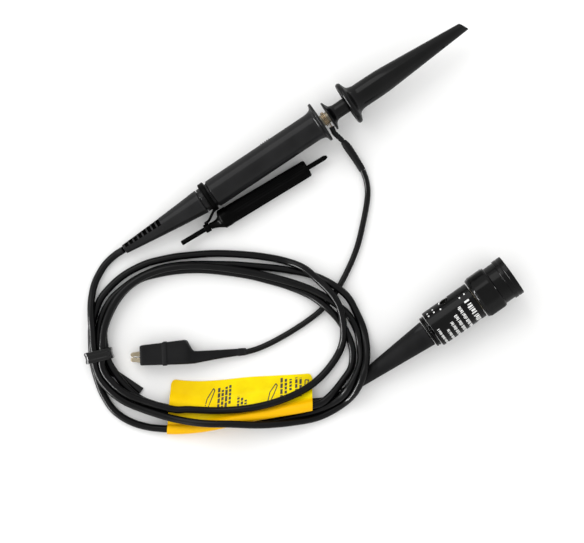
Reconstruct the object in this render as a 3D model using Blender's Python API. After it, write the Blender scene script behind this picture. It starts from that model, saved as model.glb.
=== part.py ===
"""Oscilloscope probe with a retractable hook tip, lying with its cable coiled beside it.

The frame: +X runs along the probe head towards its tip, +Y is the side away from the
adjustment tool, +Z is up from the table, and the origin is under the middle of the
probe head. The head, the connector and the clip each have an empty that holds
their axis, and their pieces are modelled along its X. Everything below is in millimetres
until it is multiplied by MM.
"""

import math

import bmesh
import bpy
from mathutils import Matrix, Vector
from mathutils.geometry import intersect_point_line

MM = 0.001

# ---- Driving dimensions -------------------------------------------------------------
# Probe head: stations along its axis, from the thin end of the strain relief.
HEAD_TAIL = (-69.65, 3.0)          # where the axis starts, seen from above
RING_AT, RING_R = 34.0, 5.5        # the tool's ring, in the groove behind the body
FLANGE_AT, FLANGE_R = 91.6, 7.85   # the hook sleeve's flange
RELIEF_END = 31.3
RELIEF_TIP_R, RELIEF_R = 1.65, 4.4
BODY_START, BODY_END, BODY_R = 36.0, 77.5, 4.95
GROOVE_R, SPIGOT_R = 4.25, 3.5
SHELL_BORE_R = 3.8
GUARD_AT, GUARD_R, GUARD_FRONT = 79.6, 7.3, 80.4
BARREL_R, BARREL_BORE_R = 2.0, 1.4
BARREL_START, BARREL_END = 74.0, 98.0
TIP_PIN_END = 106.0
SWITCH_AT, SWITCH_SIDE = 62.0, math.radians(112)
BASE_START, BASE_FLANGE_R, NECK_R = 83.4, 5.3, 2.6
NECK_END = 101.0
SLEEVE_START, SLEEVE_BARREL_R = 90.75, 4.3
SLEEVE_CONE_START, SLEEVE_END = 104.7, 138.6
SLEEVE_TIP_R, SLEEVE_BORE_R, SLEEVE_SHOULDER = 1.6, 3.2, 112.0
HOOK_TRAVEL = 5.0

# Connector: stations from the thin end of its strain relief.
PLUG_BOX_AT, PLUG_BOX = 38.8, (4.05, -77.0)  # a station and where it lies
PLUG_HEADING = math.radians(1.7)
PLUG_RELIEF_END, PLUG_RELIEF_R, PLUG_TIP_R = 35.9, 4.6, 1.5
COLLAR_START, COLLAR_END, COLLAR_R = 36.2, 37.7, 5.65
BOX_START, BOX_END, BOX_R, BOX_BORE_R = 38.0, 55.8, 6.55, 5.7
GRIP_START, GRIP_END, GRIP_R = 56.4, 63.6, 7.9
SKIRT_R, RIM_START, RIM_R, PLUG_FRONT = 6.95, 67.3, 7.35, 70.7
MATING_BORE_R = 4.95
TRIMMER_AT, TRIMMER_SIDE = 46.6, math.radians(68)

# Ground clip: stations from the tips of its jaws.
CLIP_TIP, CLIP_HEADING = (-88.1, -28.0), math.radians(-31.1)
CLIP_HEIGHT = 3.5
PIVOT_AT = 13.0

# Adjustment tool: stations from the rear of its handle.
TOOL_REAR, TOOL_HEADING, TOOL_HEIGHT = (-36.4, -5.8), math.radians(-2.6), 3.2
TOOL_LENGTH, TOOL_REAR_R, TOOL_FRONT_R = 34.7, 3.2, 2.95
ROD_START, ROD_END, ROD_R = -15.7, 42.4, 0.84
COLLAR_AT = -5.4                    # where the yoke holds the rod

CABLE_R, LEAD_R = 1.25, 1.0
CABLE_POINTS = 110
ROUND = 32                          # sides of the larger turned pieces

# Tie round the bundle, and its cut tail.
TIE_PLACE, TIE_HEIGHT, TIE_HEADING = (-96.93, -21.52), 3.35, math.radians(70)
TIE_INSIDE = (8.7, 5.5, 0.45)       # across the bundle, height, wall
TAIL_PLACE, TAIL_HEADING = (-99.3, -22.0), math.radians(-67.6)
TAIL_SIZE = (19.2, 2.65, 0.48)

# Tag: the stretch of cable that it wraps, and how far its flag reaches at each end.
TAG_START, TAG_END = (-91.5, -55.5, 1.8), (-47.3, -75.1, 4.2)
TAG_RADIUS, TAG_THICK = 1.72, 0.22
TAG_REACH = (16.9, 11.0)
TAG_SHELF = (9.8, 4.9, 3.4)         # how far it stays up on the strands under it
TAG_SHELF_HEIGHT = 2.95

# ---- Routes of what is flexible -----------------------------------------------------
CLIP_SLEEVE_ROUTE = [(12.2, -2.6, 6.9), (12.7, -4.4, 6.0), (13.2, -6.1, 4.8)]
LEAD_BOOT_ROUTE = [(13.35, -6.5, 4.5), (13.6, -10.0, 3.3), (13.7, -13.5, 2.4), (13.6, -18.4, 1.6)]
GROUND_LEAD_ROUTE = [
    (13.6, -18.75, 1.5), (12.7, -22.2, 1.1), (10.6, -26.2, 1.03), (3.8, -33.6, 1.03), (-3.8, -40.4, 1.03),
    (-13.8, -46.6, 1.03), (-19.2, -49.0, 1.03), (-24.2, -50.5, 1.03), (-29.7, -51.1, 1.03), (-37.8, -51.1, 1.03),
    (-45.5, -50.5, 1.03), (-50.6, -49.6, 1.1), (-53.8, -48.6, 1.25),
]
YOKE_ROUTE = [(-41.8, -4.05, 3.3), (-40.0, -3.7, 3.4), (-38.2, -2.7, 3.5), (-35.9, -1.4, 3.8)]

# The cable, from the probe head to the connector: four turns, in the order it was wound.
CABLE_ROUTE = [
    # out of the strain relief, to the tie
    (-70.2, 4.2, 2.6), (-73.5, 4.3, 1.6), (-78.1, 3.5, 1.3), (-82.8, 1.3, 1.3), (-85.4, -0.5, 1.3),
    (-87.7, -2.8, 1.6), (-89.7, -5.4, 2.6), (-92.2, -9.5, 3.6), (-94.5, -13.7, 3.8), (-96.1, -16.5, 4.2),
    (-98.2, -20.8, 4.5),
    # first turn, on top of the bundle
    (-99.9, -23.7, 4.6), (-100.5, -25.8, 4.2), (-101.0, -28.9, 3.9), (-100.7, -32.2, 3.8), (-100.0, -35.2, 3.8),
    (-99.0, -38.0, 3.8), (-97.5, -40.9, 3.8), (-94.9, -44.6, 4.0), (-92.6, -47.6, 4.4),
    (-87.0, -54.0, 5.3), (-79.6, -60.4, 7.8), (-71.8, -65.8, 8.3), (-63.8, -71.8, 5.4),
    (-54.4, -77.2, 3.2), (-45.4, -81.0, 1.3), (-35.8, -81.6, 2.2), (-29.6, -79.8, 6.2),
    (-24.4, -76.2, 7.2),
    (-20.0, -71.6, 3.8), (-16.4, -64.4, 1.3), (-15.2, -58.0, 1.3), (-14.8, -51.6, 3.5),
    (-16.8, -45.4, 3.9), (-21.0, -38.6, 1.3), (-26.6, -33.0, 1.3),
    (-31.4, -28.8, 1.3), (-36.4, -24.8, 1.3), (-41.6, -20.8, 1.3), (-46.8, -17.2, 1.3),
    (-52.2, -13.6, 1.3), (-57.8, -10.4, 1.3), (-63.6, -8.0, 1.3), (-71.6, -6.6, 1.3), (-78.0, -6.8, 1.3),
    (-82.8, -7.6, 1.3), (-88.4, -10.4, 1.3), (-92.0, -13.6, 1.4), (-94.8, -17.4, 2.2),
    (-97.0, -21.6, 2.2),
    # second turn
    (-98.3, -25.0, 2.2), (-98.9, -28.3, 1.9), (-99.1, -31.7, 1.4), (-98.9, -35.4, 1.3), (-97.9, -39.0, 1.3),
    (-96.1, -42.8, 1.3), (-93.1, -46.9, 1.3),
    (-85.4, -55.0, 1.3), (-79.0, -59.6, 1.3), (-71.4, -65.8, 1.3), (-63.6, -71.6, 1.3),
    (-54.8, -75.4, 1.3), (-45.6, -78.4, 1.4), (-36.2, -79.2, 4.0), (-30.2, -77.2, 6.0),
    (-23.4, -72.8, 3.4), (-20.0, -67.2, 1.3), (-18.4, -63.0, 1.3), (-18.0, -56.8, 1.3), (-19.8, -50.9, 3.5),
    (-20.8, -48.4, 4.0), (-24.0, -42.6, 3.5), (-27.9, -37.3, 3.5),
    (-33.3, -31.1, 3.5), (-37.7, -26.5, 3.5), (-47.4, -17.8, 3.7), (-52.5, -14.0, 3.8),
    (-58.0, -10.8, 3.8), (-64.0, -8.4, 3.8), (-70.0, -7.2, 3.8), (-76.4, -7.4, 3.8), (-81.9, -9.0, 3.8),
    (-87.9, -12.6, 3.8), (-91.5, -15.9, 3.9), (-96.1, -22.2, 4.6),
    # third turn, over the tag
    (-97.7, -24.4, 4.6), (-98.4, -26.4, 4.4), (-98.6, -28.8, 4.2), (-98.3, -31.6, 4.0), (-97.7, -34.1, 4.0),
    (-96.7, -36.9, 4.0), (-95.7, -38.9, 4.0), (-93.3, -42.2, 4.0), (-89.5, -46.9, 4.4), (-85.1, -51.5, 4.6),
    (-81.8, -53.6, 4.6), (-74.0, -59.2, 4.8), (-65.6, -64.0, 5.8), (-56.8, -67.6, 5.7),
    (-47.4, -69.8, 4.3), (-39.4, -70.0, 1.9), (-31.6, -68.0, 1.3),
    (-26.0, -65.0, 1.6), (-22.0, -60.2, 3.8), (-19.0, -52.8, 5.1), (-18.8, -47.8, 5.4),
    (-20.0, -41.6, 4.0), (-21.8, -35.4, 3.7), (-25.6, -30.0, 1.4),
    (-31.2, -24.4, 1.3), (-38.6, -18.4, 1.3), (-45.2, -13.8, 1.3), (-50.8, -10.6, 1.3),
    (-56.6, -7.6, 1.3), (-61.0, -5.8, 1.3), (-65.6, -4.2, 1.3), (-71.8, -3.2, 1.3), (-76.6, -3.2, 1.3),
    (-81.4, -4.0, 1.3), (-86.0, -5.5, 1.3), (-90.1, -8.3, 1.3), (-93.6, -11.5, 1.3), (-96.4, -15.6, 1.8),
    (-98.8, -19.8, 2.2),
    # fourth turn, through the tag
    (-100.8, -24.0, 2.2), (-102.4, -28.6, 1.3), (-103.4, -33.4, 1.3), (-103.4, -39.8, 1.3),
    (-101.2, -45.6, 1.3), (-97.2, -50.8, 1.3), (-91.0, -55.8, 1.9), (-84.0, -60.0, 2.8),
    (-76.8, -63.2, 4.7), (-66.2, -67.2, 4.4), (-57.4, -71.0, 4.0), (-47.0, -75.4, 4.8),
    (-42.6, -77.0, 4.2), (-37.8, -76.6, 3.6), (-31.6, -74.8, 1.6), (-27.4, -73.0, 1.3),
    (-24.2, -69.4, 1.3), (-22.4, -65.0, 1.3), (-21.6, -58.6, 1.3), (-22.4, -52.2, 4.0),
    (-25.0, -44.8, 2.8),
    (-29.4, -38.0, 1.3), (-33.6, -32.9, 1.3), (-38.9, -27.1, 1.3), (-48.5, -18.6, 1.3),
    (-53.8, -14.8, 1.3), (-59.4, -11.6, 1.3), (-64.9, -9.2, 1.3), (-70.6, -7.4, 1.3), (-75.8, -7.4, 1.3),
    (-81.7, -9.1, 1.3), (-88.0, -12.7, 1.3), (-91.6, -16.0, 1.8), (-95.0, -23.2, 2.2),
    # under the tag to the connector
    (-95.5, -24.8, 2.2), (-95.7, -27.0, 2.2), (-95.7, -30.6, 2.2), (-95.4, -34.1, 2.2), (-94.9, -37.1, 2.2),
    (-94.2, -39.9, 2.2), (-93.0, -42.6, 1.9), (-89.8, -47.0, 1.3),
    (-84.0, -52.6, 1.3), (-76.8, -59.0, 1.3), (-68.0, -62.8, 1.3), (-59.4, -67.0, 1.3),
    (-50.8, -71.6, 1.3), (-45.4, -75.0, 1.3), (-39.6, -77.8, 1.3), (-35.2, -78.6, 1.6),
]

# ---- Where the axes lie -------------------------------------------------------------
HEAD_TILT = math.atan((FLANGE_R - RING_R) / (FLANGE_AT - RING_AT))
HEAD_TAIL_Z = RING_R / math.cos(HEAD_TILT) - RING_AT * math.sin(HEAD_TILT)
PLUG_TILT = math.atan((GRIP_R - BOX_R) / (GRIP_START - BOX_START))
PLUG_TAIL_Z = BOX_R / math.cos(PLUG_TILT) - BOX_START * math.sin(PLUG_TILT)


# ---- Building tools -----------------------------------------------------------------
def clear_scene():
    for thing in list(bpy.data.objects):
        bpy.data.objects.remove(thing, do_unlink=True)


def look(name, colour, roughness, metallic=0.0):
    """A plain Principled material."""
    material = bpy.data.materials.new(name)
    material.use_nodes = True
    shader = material.node_tree.nodes["Principled BSDF"]
    shader.inputs["Base Color"].default_value = (*colour, 1.0)
    shader.inputs["Roughness"].default_value = roughness
    shader.inputs["Metallic"].default_value = metallic
    material.diffuse_color = (*colour, 1.0)
    return material


def axis_empty(name, place, tilt=0.0, heading=0.0, parent=None):
    """An empty whose X axis is the axis that its pieces are built along."""
    empty = bpy.data.objects.new(name, None)
    bpy.context.collection.objects.link(empty)
    empty.parent = parent
    empty.location = [value * MM for value in place]
    empty.rotation_euler = (0.0, -tilt, heading)
    return empty


def finish_mesh(name, bm, material, parent, sharp=35):
    bmesh.ops.recalc_face_normals(bm, faces=bm.faces)
    mesh = bpy.data.meshes.new(name)
    bm.to_mesh(mesh)
    bm.free()
    mesh.materials.append(material)
    mesh.shade_smooth()
    mesh.set_sharp_from_angle(angle=math.radians(sharp))
    thing = bpy.data.objects.new(name, mesh)
    bpy.context.collection.objects.link(thing)
    thing.parent = parent
    return thing


def turned(name, outline, material, parent, sides=ROUND):
    """A turned piece about X. The outline lists (station, radius): it starts and ends on
    the axis for a solid piece, and is a closed loop for a hollow one."""
    bm = bmesh.new()
    corners = [bm.verts.new((station * MM, 0.0, radius * MM)) for station, radius in outline]
    edges = [bm.edges.new(pair) for pair in zip(corners, corners[1:])]
    if outline[0][1] > 0.0:
        edges.append(bm.edges.new((corners[-1], corners[0])))
    bmesh.ops.spin(
        bm, geom=corners + edges, cent=(0, 0, 0), axis=(1, 0, 0), dvec=(0, 0, 0),
        angle=math.tau, steps=sides, use_merge=True, use_duplicate=False,
    )
    bmesh.ops.remove_doubles(bm, verts=bm.verts, dist=1e-6)
    return finish_mesh(name, bm, material, parent)


def skinned(name, rings, material, parent=None, sharp=35):
    """A closed skin over rings of points, each with the same number of points."""
    bm = bmesh.new()
    rows = [[bm.verts.new(Vector(point) * MM) for point in ring] for ring in rings]
    count = len(rows[0])
    for first, second in zip(rows, rows[1:]):
        for i in range(count):
            j = (i + 1) % count
            bm.faces.new((first[i], first[j], second[j], second[i]))
    bm.faces.new(rows[0])
    bm.faces.new(rows[-1][::-1])
    return finish_mesh(name, bm, material, parent, sharp)


def block(name, size, centre, material, parent, bevel=0.0, turn=None):
    """A box of the given size, with its edges bevelled."""
    bm = bmesh.new()
    bmesh.ops.create_cube(bm, size=1.0)
    shape = Matrix.Diagonal([*[side * MM for side in size], 1.0])
    move = Matrix.Translation([value * MM for value in centre])
    bmesh.ops.transform(bm, matrix=move @ (turn or Matrix()) @ shape, verts=bm.verts)
    if bevel:
        bmesh.ops.bevel(bm, geom=bm.edges[:], offset=bevel * MM, segments=2, affect="EDGES")
    return finish_mesh(name, bm, material, parent)


def tube(name, points, radius, material, resolution=2, parent=None):
    """A round rod or cord along points, in millimetres."""
    curve = bpy.data.curves.new(name, "CURVE")
    curve.dimensions = "3D"
    curve.bevel_depth = radius * MM
    curve.bevel_resolution = resolution
    curve.use_fill_caps = True
    spline = curve.splines.new("POLY")
    spline.points.add(len(points) - 1)
    for place, point in zip(spline.points, points):
        place.co = (*[value * MM for value in point], 1.0)
    curve.materials.append(material)
    thing = bpy.data.objects.new(name, curve)
    bpy.context.collection.objects.link(thing)
    thing.parent = parent
    return thing


def cut(piece, cutter, operation="DIFFERENCE"):
    """Takes the cutter away from the piece, or joins it on with UNION."""
    modifier = piece.modifiers.new(cutter.name, "BOOLEAN")
    modifier.operation = operation
    modifier.solver = "EXACT"
    modifier.object = cutter
    cutter.hide_render = True
    cutter.display_type = "WIRE"


def smooth_route(points, count):
    """Points on one smooth curve through a route's points, closer together in the bends."""
    places = [Vector(point) for point in points]
    places = [places[0] * 2 - places[1], *places, places[-1] * 2 - places[-2]]
    fine = []
    for before, start, end, after in zip(places, places[1:], places[2:], places[3:]):
        first, span, last = (math.sqrt((b - a).length) for a, b in ((before, start), (start, end), (end, after)))
        leave = (start - before) / first - (end - before) / (first + span) + (end - start) / span
        arrive = (end - start) / span - (after - start) / (span + last) + (after - end) / last
        for step in range(12):
            t = step / 12
            fine.append(
                start * (2 * t**3 - 3 * t**2 + 1) + leave * span * (t**3 - 2 * t**2 + t)
                + end * (3 * t**2 - 2 * t**3) + arrive * span * (t**3 - t**2)
            )
    fine.append(places[-2])
    reach, turn = [0.0], 0.0
    for i in range(1, len(fine)):
        step = fine[i] - fine[i - 1]
        if i > 1:
            turn = turn * 0.85 + 0.15 * step.angle(fine[i - 1] - fine[i - 2])
        reach.append(reach[-1] + step.length / 4 + 2 * math.sqrt(step.length * turn))
    spread, at = [], 0
    for i in range(count):
        wanted = reach[-1] * i / (count - 1)
        while at < len(fine) - 2 and reach[at + 1] < wanted:
            at += 1
        share = (wanted - reach[at]) / (reach[at + 1] - reach[at])
        spread.append(fine[at].lerp(fine[at + 1], min(max(share, 0.0), 1.0)))
    return spread


def circle_points(station, radius, sides, centre=(0.0, 0.0)):
    """A ring of points across X, counted from +Z towards +Y."""
    return [
        (
            station,
            centre[0] + radius * math.sin(math.tau * i / sides),
            centre[1] + radius * math.cos(math.tau * i / sides),
        )
        for i in range(sides)
    ]


def slotted_relief(name, sizes, slots, lean, material, parent):
    """A tapered strain relief with slots across one side. The cable bends its thin end aside
    and down, by the two lengths in lean."""
    length, tip_r, end_r, spigot_r, spigot_end = sizes
    side, half_width, pitch, width, depth, count = slots
    sides, wall = 20, 0.08
    marks = [0.0]
    for i in range(count):
        start = pitch * (i + 0.5)
        marks += [start, start + wall, start + width - wall, start + width]
    marks += [length * 0.75, length]
    rings = []
    for k, station in enumerate(marks):
        radius = tip_r + (end_r - tip_r) * station / length
        cut_here = 0 < k <= 4 * count and (k - 1) % 4 in (1, 2)
        aside, down = (part * (1 - station / length) ** 1.4 for part in lean)
        ring = []
        for i in range(sides):
            angle = math.tau * i / sides
            off = abs((angle - side + math.pi) % math.tau - math.pi)
            reach = radius - depth * radius if cut_here and off < half_width else radius
            ring.append((station, aside + reach * math.sin(angle), reach * math.cos(angle) - down))
        rings.append(ring)
    if spigot_r:
        rings.append(circle_points(length, spigot_r, sides))
        rings.append(circle_points(spigot_end, spigot_r, sides))
    return skinned(name, rings, material, parent)


# ---- Materials ----------------------------------------------------------------------
def make_looks():
    return {
        "black_plastic": look("black_plastic", (0.018, 0.018, 0.019), 0.5),
        "black_rubber": look("black_rubber", (0.012, 0.012, 0.012), 0.62),
        "cord_jacket": look("cord_jacket", (0.01, 0.01, 0.01), 0.42),
        "nickel": look("nickel", (0.66, 0.64, 0.60), 0.28, 1.0),
        "gilt": look("gilt", (0.83, 0.55, 0.32), 0.3, 1.0),
        "spring_steel": look("spring_steel", (0.55, 0.55, 0.56), 0.3, 1.0),
        "white_insulator": look("white_insulator", (0.82, 0.81, 0.78), 0.4),
        "board_green": look("board_green", (0.03, 0.16, 0.07), 0.5),
        "tag_yellow": look("tag_yellow", (0.95, 0.72, 0.0), 0.45),
    }


# ---- Probe head ---------------------------------------------------------------------
def build_head(looks, head):
    black = looks["black_plastic"]
    slotted_relief(
        "rear_strain_relief",
        (RELIEF_END, RELIEF_TIP_R, RELIEF_R, SPIGOT_R, BODY_START + 2.0),
        (math.radians(62), math.radians(80), 1.9, 1.1, 0.42, 8),
        (1.1, HEAD_TAIL_Z - 2.6), looks["black_rubber"], head,
    )
    shell = turned(
        "probe_body_shell",
        [
            (RELIEF_END + 0.4, SHELL_BORE_R), (RELIEF_END + 0.4, GROOVE_R), (RING_AT - 1.4, GROOVE_R),
            (BODY_START - 0.6, GROOVE_R), (BODY_START, BODY_R - 0.25), (BODY_START + 0.3, BODY_R),
            (BODY_END, BODY_R), (78.6, 5.35), (79.2, 6.3), (GUARD_AT, GUARD_R), (GUARD_FRONT, GUARD_R),
            (GUARD_FRONT, BARREL_R + 0.3), (76.0, BARREL_R + 0.3), (76.0, SHELL_BORE_R),
        ],
        black, head,
    )
    slide = switch_turn()
    cut(shell, block(
        "switch_opening", (8.6, 3.0, 4.0), slide @ Vector((SWITCH_AT, 0, BODY_R)), black, head, turn=slide.to_4x4(),
    ))
    block(
        "range_switch_slider", (4.8, 2.3, 1.75), slide @ Vector((SWITCH_AT - 1.5, 0, BODY_R - 0.45)),
        black, head, bevel=0.25, turn=slide.to_4x4(),
    )
    turned(
        "crimp_ferrule",
        [(BODY_START + 2.4, 1.3), (BODY_START + 2.4, 2.3), (44.0, 2.3), (44.0, 1.3)],
        looks["nickel"], head, 20,
    )
    block("attenuator_board", (26.0, 5.4, 0.8), (58.6, 0, -0.8), looks["board_green"], head)
    turned(
        "tip_resistor",
        [(63.0, 0), (63.0, 0.9), (63.4, 1.1), (69.4, 1.1), (69.8, 0.9), (69.8, 0)],
        looks["white_insulator"], axis_empty("resistor_axis", (0, 0, 1.0), parent=head), 16,
    )
    turned(
        "ground_barrel",
        [
            (BARREL_START, BARREL_BORE_R), (BARREL_START, BARREL_R), (BARREL_END - 0.4, BARREL_R),
            (BARREL_END, BARREL_R - 0.3), (BARREL_END, BARREL_BORE_R),
        ],
        looks["nickel"], head, 24,
    )
    turned(
        "nose_insulator",
        [(BARREL_START + 1, 0.5), (BARREL_START + 1, 1.25), (BARREL_END + 3, 1.25), (BARREL_END + 3.6, 0.9),
         (BARREL_END + 3.6, 0.5)],
        looks["white_insulator"], head, 16,
    )
    turned(
        "probe_tip_pin",
        [(BARREL_START - 1, 0), (BARREL_START - 1, 0.38), (TIP_PIN_END - 1.6, 0.38), (TIP_PIN_END, 0.08), (TIP_PIN_END, 0)],
        looks["gilt"], head, 12,
    )


def switch_turn():
    """Turns the top of the body round to where the range switch is."""
    return Matrix.Rotation(-SWITCH_SIDE, 3, "X")


def build_hook_tip(looks, head):
    black = looks["black_plastic"]
    turned(
        "hook_base",
        [
            (BASE_START, BARREL_R + 0.25), (BASE_START, BASE_FLANGE_R), (BASE_START + 0.6, BASE_FLANGE_R),
            (BASE_START + 0.9, 4.0), (85.3, NECK_R), (NECK_END, NECK_R), (NECK_END, BARREL_R + 0.25),
        ],
        black, head,
    )
    sleeve = turned(
        "hook_sleeve",
        [
            (SLEEVE_START, SLEEVE_BORE_R), (SLEEVE_START, FLANGE_R - 0.6), (SLEEVE_START + 0.4, FLANGE_R - 0.1),
            (FLANGE_AT, FLANGE_R), (92.1, FLANGE_R - 0.25), (92.5, FLANGE_R - 1.0), (92.8, 5.6), (93.6, 4.6),
            (94.6, SLEEVE_BARREL_R), (SLEEVE_CONE_START, SLEEVE_BARREL_R), (SLEEVE_END + 1.0, SLEEVE_TIP_R),
            (SLEEVE_END + 1.0, 0.95), (SLEEVE_SHOULDER + 1.0, 0.95), (SLEEVE_SHOULDER, SLEEVE_BORE_R - 0.4),
        ],
        black, head,
    )
    cut(sleeve, block(
        "sleeve_end_trim", (6.0, 8.0, 8.0), (SLEEVE_END + 3.0, 0, 0), black, head,
        turn=Matrix.Rotation(math.radians(27), 4, "Z"),
    ))
    turned(
        "hook_socket",
        [(NECK_END + 1.2, 0.55), (NECK_END + 1.2, 1.1), (107.0, 1.1), (107.3, 0.8), (107.3, 0.55)],
        looks["gilt"], head, 16,
    )
    bend = [(x, -0.3, 0.0) for x in (107.6, 128.0, 136.6)]
    for degrees in (45, 90, 135, 175):
        turn = math.radians(degrees)
        bend.append((136.6 + 0.3 * math.sin(turn), -0.3 * math.cos(turn), 0.0))
    tube("hook_wire", bend, 0.27, looks["spring_steel"], 1, head)
    coil = []
    turns, steps = 6, 10
    for i in range(turns * steps + 1):
        angle = math.tau * i / steps
        coil.append((
            NECK_END + 0.6 + 8.6 * i / (turns * steps), 1.9 * math.sin(angle), 1.9 * math.cos(angle),
        ))
    tube("hook_spring", coil, 0.22, looks["spring_steel"], 1, head)


# ---- Ground clip, its sleeve and the lead -------------------------------------------
def build_ground(looks, head):
    ring = turned(
        "ground_clip_ring",
        [(81.0, BARREL_R + 0.1), (81.0, 2.9), (82.8, 2.9), (82.8, BARREL_R + 0.1)],
        looks["gilt"], head, 24,
    )
    cut(ring, block("ground_clip_tab", (1.4, 2.6, 0.5), (81.9, -3.9, -0.4), looks["gilt"], head), "UNION")
    black = looks["black_rubber"]
    tube("ground_clip_sleeve", smooth_route(CLIP_SLEEVE_ROUTE, 6), 0.95, black)
    tube("ground_lead_boot", smooth_route(LEAD_BOOT_ROUTE, 7), 1.5, black, 3)
    tube("ground_lead_wire", smooth_route(GROUND_LEAD_ROUTE, 40), LEAD_R, looks["cord_jacket"])


def rounded_ring(station, low, high, thick, height, corner=0.9):
    """A ring of points round a rounded rectangle across X, from its lower edge."""
    ring = []
    half = thick / 2
    centres = ((high, half, 0), (high, -half, 90), (low, -half, 180), (low, half, 270))
    for y, z, start in centres:
        y += -corner if y == high else corner
        z += -corner if z > 0 else corner
        for step in (0, 30, 60, 90):
            angle = math.radians(start + step)
            ring.append((station, y + corner * math.sin(angle), height + z + corner * math.cos(angle)))
    return ring


def build_alligator(looks, clip):
    rubber, metal = looks["black_rubber"], looks["nickel"]
    sections = [
        # station, lower and upper edge, thickness, height of the middle, corner
        (3.3, -2.9, 3.85, 6.2, 0.0, 0.9),
        (10.8, -3.0, 4.4, 6.4, 0.0, 0.9),
        (11.0, -3.3, 4.75, 7.0, 0.0, 1.2),
        (12.4, -3.3, 4.8, 7.0, 0.0, 1.2),
        (12.6, -3.05, 4.6, 6.45, 0.0, 0.9),
        (18.3, -3.1, 5.1, 6.6, 0.0, 1.0),
        (19.6, -3.1, 4.8, 6.4, 0.0, 1.0),
        (21.4, -3.1, 1.0, 4.6, -0.4, 1.0),
        (30.0, -1.9, 1.15, 2.9, -1.3, 0.9),
        (39.5, -0.95, 1.25, 2.2, -2.25, 0.8),
    ]
    boot = skinned("alligator_boot", [rounded_ring(*s) for s in sections], rubber, clip)
    hollow = [
        (2.8, -2.2, 3.2, 5.0, 0.0, 0.6),
        (17.9, -2.4, 4.2, 5.4, 0.0, 0.6),
        (19.0, -2.4, 3.2, 4.8, 0.0, 0.6),
    ]
    cut(boot, skinned("alligator_boot_hollow", [rounded_ring(*s) for s in hollow], rubber, clip))
    lower = [
        (0.0, -1.15), (0.0, -0.35), (1.5, -0.25), (11.4, -0.25), (11.4, -1.5), (17.4, -1.5), (17.4, -1.9), (3.0, -1.9),
    ]
    upper = [
        (0.0, 0.05), (0.0, 0.8), (3.0, 1.45), (14.0, 2.2), (16.5, 2.2), (16.5, 1.4), (14.2, 1.2), (14.2, -1.0),
        (11.9, -1.0), (11.9, 0.05),
    ]
    fixed = jaw("lower_jaw", lower, 1.4, metal, clip)
    for side in (-1, 1):
        ear = block(f"jaw_ear_{side + 2}", (3.4, 3.2, 0.45), (PIVOT_AT, -0.35, side * 1.95), metal, clip)
        foot = block(f"ear_foot_{side + 2}", (3.4, 0.5, 1.0), (PIVOT_AT, -1.7, side * 1.67), metal, clip)
        cut(fixed, ear, "UNION")
        cut(fixed, foot, "UNION")
    pin_hole = turned_across("jaw_pin_hole", 0.62, 5.4, metal, clip)
    pivot = axis_empty("jaw_pivot", (PIVOT_AT, 0, 0), parent=clip)
    moving = jaw("upper_jaw", upper, 1.4, metal, pivot, shift=-PIVOT_AT)
    cut(fixed, pin_hole)
    cut(moving, pin_hole)
    turned_across("jaw_pivot_pin", 0.5, 4.7, metal, clip)


def jaw(name, outline, half_width, material, parent, shift=0.0):
    """A jaw pressed to its outline."""
    rings = [[(x + shift, y, z) for x, y in outline] for z in (-half_width, half_width)]
    return skinned(name, rings, material, parent)


def turned_across(name, radius, length, material, clip):
    """A pin across the clip at its pivot, standing up in Z."""
    ring = [(radius * math.cos(math.tau * i / 16), radius * math.sin(math.tau * i / 16)) for i in range(16)]
    rings = [[(PIVOT_AT + x, y, z) for x, y in ring] for z in (-length / 2, length / 2)]
    return skinned(name, rings, material, clip)


# ---- Adjustment tool ----------------------------------------------------------------
def build_tool(looks, head):
    """A trimmer screwdriver that hangs on a ring in the groove behind the probe's body."""
    black = looks["black_plastic"]
    hub = axis_empty("tool_hub", (RING_AT, 0, 0), parent=head)
    swing = axis_empty("tool_swing", hub_place())
    offset = [at - base for at, base in zip((*TOOL_REAR, TOOL_HEIGHT), hub_place())]
    tool = axis_empty("tool_axis", offset, heading=TOOL_HEADING, parent=swing)
    ring = turned(
        "tool_clip",
        [(-1.0, GROOVE_R + 0.12), (-1.0, RING_R - 0.2), (-0.7, RING_R), (0.7, RING_R), (1.0, RING_R - 0.2),
         (1.0, GROOVE_R + 0.12)],
        black, hub,
    )
    collar = turned(
        "yoke_collar",
        [(COLLAR_AT - 1, ROD_R + 0.12), (COLLAR_AT - 1, 1.5), (COLLAR_AT + 1, 1.5), (COLLAR_AT + 1, ROD_R + 0.12)],
        black, tool, 20,
    )
    cut(ring, swept("yoke_arm", smooth_route(YOKE_ROUTE, 8), 0.45, black), "UNION")
    cut(ring, collar, "UNION")
    ribs, sides = 12, 48
    rings = []
    for station, scale in ((0, 0.86), (0.5, 1), (TOOL_LENGTH - 1.2, 1), (TOOL_LENGTH, 0.8)):
        radius = TOOL_REAR_R + (TOOL_FRONT_R - TOOL_REAR_R) * station / TOOL_LENGTH
        ring = []
        for i in range(sides):
            angle = math.tau * i / sides
            reach = radius * scale + 0.14 * math.cos(ribs * angle) * (scale == 1)
            ring.append((station, 1.06 * reach * math.sin(angle), 0.94 * reach * math.cos(angle)))
        rings.append(ring)
    handle = skinned("tool_handle", rings, black, tool, sharp=25)
    cut(handle, turned("handle_bore", [(-2, 0), (-2, 0.96), (40, 0.96), (40, 0)], black, tool, 16))
    turned(
        "tool_rod",
        [(ROD_START, 0), (ROD_START, ROD_R), (ROD_END - 1.0, ROD_R), (ROD_END, 0.4), (ROD_END, 0)],
        black, tool, 16,
    )


def hub_place():
    """The middle of the tool's ring, on the probe head's axis."""
    along = RING_AT * math.cos(HEAD_TILT)
    return (HEAD_TAIL[0] + along, HEAD_TAIL[1], HEAD_TAIL_Z + RING_AT * math.sin(HEAD_TILT))


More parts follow.
